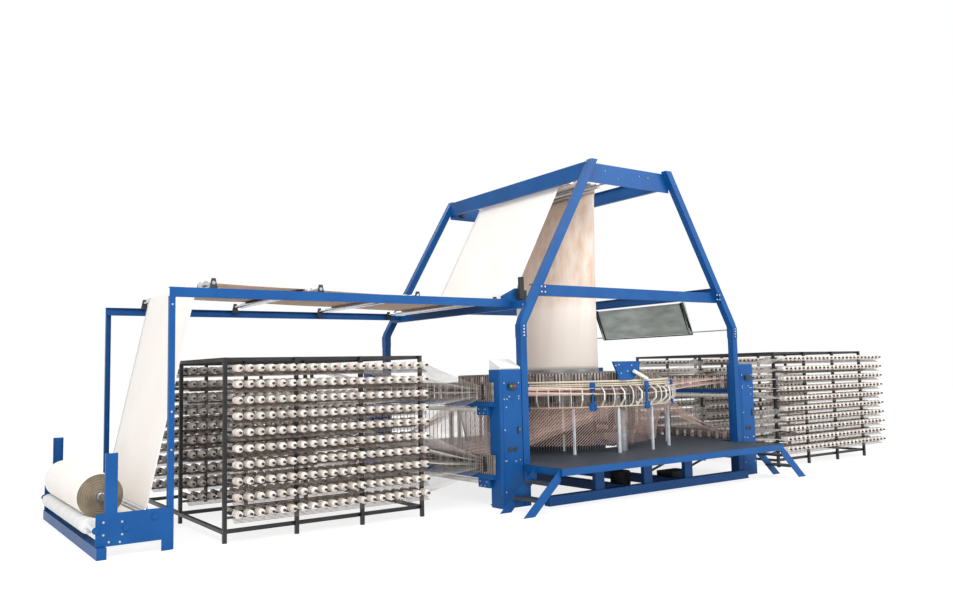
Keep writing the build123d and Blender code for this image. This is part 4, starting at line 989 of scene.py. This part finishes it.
# Flat fabric: the woven sleeve lies flat over the top rollers, the nip, the bridge and the winder.
# It touches each roller on its way and hangs a few millimetres slack where the way is long.
# The flat fabric is the tube's cloth painted near white, painted light where light falls on it, and tinted
# peach-tan from about x -6 to -2 m, painted shade on its underside over the bridge.
flat_cloth_painted_light = mottled("flat_cloth_painted_light", (0.90, 0.87, 0.83), (0.88, 0.83, 0.78), 1.6, (0.55, 0.75))
weave_relief(flat_cloth_painted_light, weave_pitch)
tinted(flat_cloth_painted_light, "X", (-7, 0), ((0.143, 0), (0.170, 1), (0.714, 1), (0.745, 0)), (0.82, 0.60, 0.47))
cloth_gap = 0.003
cloth_slack = 0.006
slack_from_steps = 6
step_angle = 0.2
step_length = 0.12
last_heading = math.radians(187)
start_x = -top_shift
start_z = tube_high.z + 0.002
cloth_rollers = (("top_roller_right", 1), ("top_roller_left", 1), ("nip_roller_left", -1),
                 ("bridge_roller_1", 1), ("bridge_roller_2", 1), ("bridge_roller_3", 1),
                 ("end_roller", 1), ("low_guide_roller", -1), ("drum_front", 1))
line_rollers = [(start_x, start_z, 0, 1)]
for name, hand in cloth_rollers:
    roller_low, roller_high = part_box(name)
    line_rollers.append(((roller_low.x + roller_high.x) / 2, (roller_low.z + roller_high.z) / 2,
                         (roller_high.z - roller_low.z) / 2 + cloth_gap, hand))
headings = []
for a, b in zip(line_rollers, line_rollers[1:]):
    run = Vector((b[0] - a[0], b[1] - a[1]))
    headings.append(math.atan2(run.y, run.x) - math.asin((b[3] * b[2] - a[3] * a[2]) / run.length))
headings.append(last_heading)
cloth_line = [Vector((start_x, start_z))]
for k in range(1, len(line_rollers)):
    x, z, reach, hand = line_rollers[k]
    bend = (headings[k] - headings[k - 1] + math.pi) % (2 * math.pi) - math.pi
    steps = max(1, round(abs(bend) / step_angle))
    arc = []
    for step in range(steps + 1):
        heading = headings[k - 1] + bend * step / steps
        arc.append(Vector((x + hand * reach * math.sin(heading), z - hand * reach * math.cos(heading))))
    before = cloth_line[-1]
    run_steps = max(1, round((arc[0] - before).length / step_length))
    for step in range(1, run_steps):
        share = step / run_steps
        spot = before.lerp(arc[0], share)
        spot.y -= cloth_slack * 4 * share * (1 - share) if run_steps > slack_from_steps else 0
        cloth_line.append(spot)
    cloth_line.extend(arc)
bpy.ops.object.select_all(action="DESELECT")
bpy.ops.mesh.primitive_grid_add(x_subdivisions=len(cloth_line) - 1, y_subdivisions=24, size=2)
web = bpy.context.object
for vertex in web.data.vertices:
    spot = cloth_line[round((vertex.co.x + 1) / 2 * (len(cloth_line) - 1))]
    vertex.co = (spot.x, vertex.co.y * tube_half_width, spot.y)
pick(web)
bpy.ops.object.shade_smooth_by_angle(angle=math.radians(40))
thickened(web, cloth_thickness)
seat(web, "flat_fabric", flat_cloth_painted_light)
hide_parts("fabric_web")

# Roll of fabric: the flat sleeve wound round a steel shaft, which stands out at both ends.
# The wound layers show as rings on the roll's ends, which are painted dark brown, painted shade between the
# layers of the pale cloth.
roll_end_painted_shade = mottled("roll_end_painted_shade", (0.24, 0.19, 0.125), (0.13, 0.10, 0.065), 7, (0.55, 0.75),
                     bump=0.2, bump_scale=90, stretch=(1, 8, 1))
roll_low, roll_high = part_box("fabric_roll")
roll_x = (roll_low.x + roll_high.x) / 2
roll_z = (roll_low.z + roll_high.z) / 2
roll_radius = 0.219
roll_half_length = 0.99
ring_count = 14
ring_width = 0.012
ring_depth = 0.004
core_radius = 0.040
core_half_length = 1.05
roll = turned(roll_radius, -roll_half_length, roll_half_length, 96, (roll_x, 0, roll_z))
edit_faces(roll, faces_along_y)
for layer in range(ring_count):
    bpy.ops.mesh.inset(thickness=ring_width, depth=ring_depth if layer % 2 else -ring_depth,
                       use_individual=True)
bpy.ops.object.mode_set(mode="OBJECT")
bpy.ops.object.shade_smooth_by_angle(angle=math.radians(30))
seat(roll, "wound_roll", roll_end_painted_shade, "fabric_roll")
# The roll's body takes the flat fabric's near-white painted light.
roll.data.materials.append(flat_cloth_painted_light)
for face in roll.data.polygons:
    if abs(face.normal.y) < 0.1 and abs(face.center.y) < 0.9:
        face.material_index = 1
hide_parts("fabric_roll")
core = turned(core_radius, -core_half_length, core_half_length, 32, (roll_x, 0, roll_z), 0.006)
seat(core, "roll_core", turned_steel, "fabric_roll")

# Rollers: polished steel tube with journals, and pale rubber on the nip and the winder drums.
# Each is turned with a small chamfer at its ends and runs in bearings beside the fabric's way.
polished = mottled("polished_steel", (0.60, 0.60, 0.61), (0.48, 0.48, 0.50), 4, (0.15, 0.3), 1.0,
                   stretch=(1, 10, 1))
pale_rubber = mottled("pale_rubber", (0.80, 0.80, 0.79), (0.70, 0.70, 0.69), 5, (0.5, 0.65),
                      bump=0.2, bump_scale=160)
roller_half_length = 1.15
chamfer = 0.003
chamfer_rise = 0.002
journal_radius = 0.0195
journal_gap = 0.002


def roller(name, finish):
    """A turned roller along Y in the place of its plain solid, with a journal at each end."""
    low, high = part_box(name)
    radius = (high.z - low.z) / 2
    place = ((low.x + high.x) / 2, 0, (low.z + high.z) / 2)
    piece = turned(radius, -roller_half_length, roller_half_length, 64, place)
    edit_faces(piece, faces_along_y)
    journal_length = high.y - journal_gap - roller_half_length - chamfer_rise
    for inset_width, inset_depth in ((chamfer, chamfer_rise), (radius - chamfer - journal_radius, 0),
                                     (0.0002, journal_length)):
        bpy.ops.mesh.inset(thickness=inset_width, depth=inset_depth, use_individual=True)
    bpy.ops.object.mode_set(mode="OBJECT")
    bpy.ops.object.shade_smooth_by_angle(angle=math.radians(30))
    seat(piece, name + "_turned", finish, name)
    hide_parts(name)


for name in ("top_roller_right", "top_roller_left", "nip_roller_right", "bridge_roller_1",
             "bridge_roller_2", "bridge_roller_3", "end_roller", "low_guide_roller"):
    roller(name, polished)
for name in ("nip_roller_left", "drum_front", "drum_rear"):
    roller(name, pale_rubber)
dress(cast_dark, "roller_bearings")

# Winder: blue steel plates with visible bolts, and lift guides that lead the roll's shaft upwards.
# Round blue caps close the bearings on the near and the far face.
plate_face = 1.492
portal_face = 1.482
cap_face = 1.496
plate_bolt_spots = ((-7.02, 0.34), (-6.85, 0.33), (-7.02, 0.22), (-6.85, 0.21), (-6.97, 0.15), (-6.87, 0.14))
portal_bolt_spots = ((-6.39, 1.36), (-6.39, 0.98), (-6.39, 2.45))
cap_spots = ((-7.09, 0.27), (-6.81, 0.27), (-6.54, 0.345))


def on_both_faces(spots, face_y):
    """Places on the near and the far face, at spots given by their x and z."""
    return [(x, end * face_y, z) for end in (-1, 1) for x, z in spots]


winder_bolts = on_both_faces(plate_bolt_spots, plate_face) + on_both_faces(portal_bolt_spots, portal_face)
seat(copies(stud(0.012, 0.010), winder_bolts), "winder_bolts", zinc)
bearing_cap = stud(0.034, 0.011, 24)
seat(copies(bearing_cap, on_both_faces(cap_spots, cap_face)), "bearing_caps", machine_blue)

# Inspection light: a tilted panel behind the head, its cover ribbed, in a black frame.
# The frame is of flat steel bars, two at each end, on a bar along the panel's foot.
cover_green = mottled("cover_green", (0.26, 0.31, 0.29), (0.48, 0.53, 0.51), 7, (0.25, 0.45), 0.2,
                      stretch=(1, 0.3, 1))
dress(cover_green, "light_panel")
panel_foot_x = 2.155
panel_foot_z = 2.225
panel_slant = -0.39
upright_length = 0.56
upright_places = (-0.93, -0.89, 1.09, 1.13)
upright_turn = Matrix.Rotation(panel_slant, 4, "Y")
frame_bars = []
for y in upright_places:
    bar = block((-0.02, y - 0.010, 0), (0.02, y + 0.010, upright_length), 0.002)
    bar.data.transform(Matrix.Translation((panel_foot_x - 0.02, 0, panel_foot_z - 0.01)) @ upright_turn)
    frame_bars.append(bar)
frame_bars.append(block((panel_foot_x - 0.04, upright_places[0], panel_foot_z - 0.02),
                        (panel_foot_x, upright_places[-1], panel_foot_z), 0.003))
seat(joined(frame_bars), "panel_frame", rack_black)
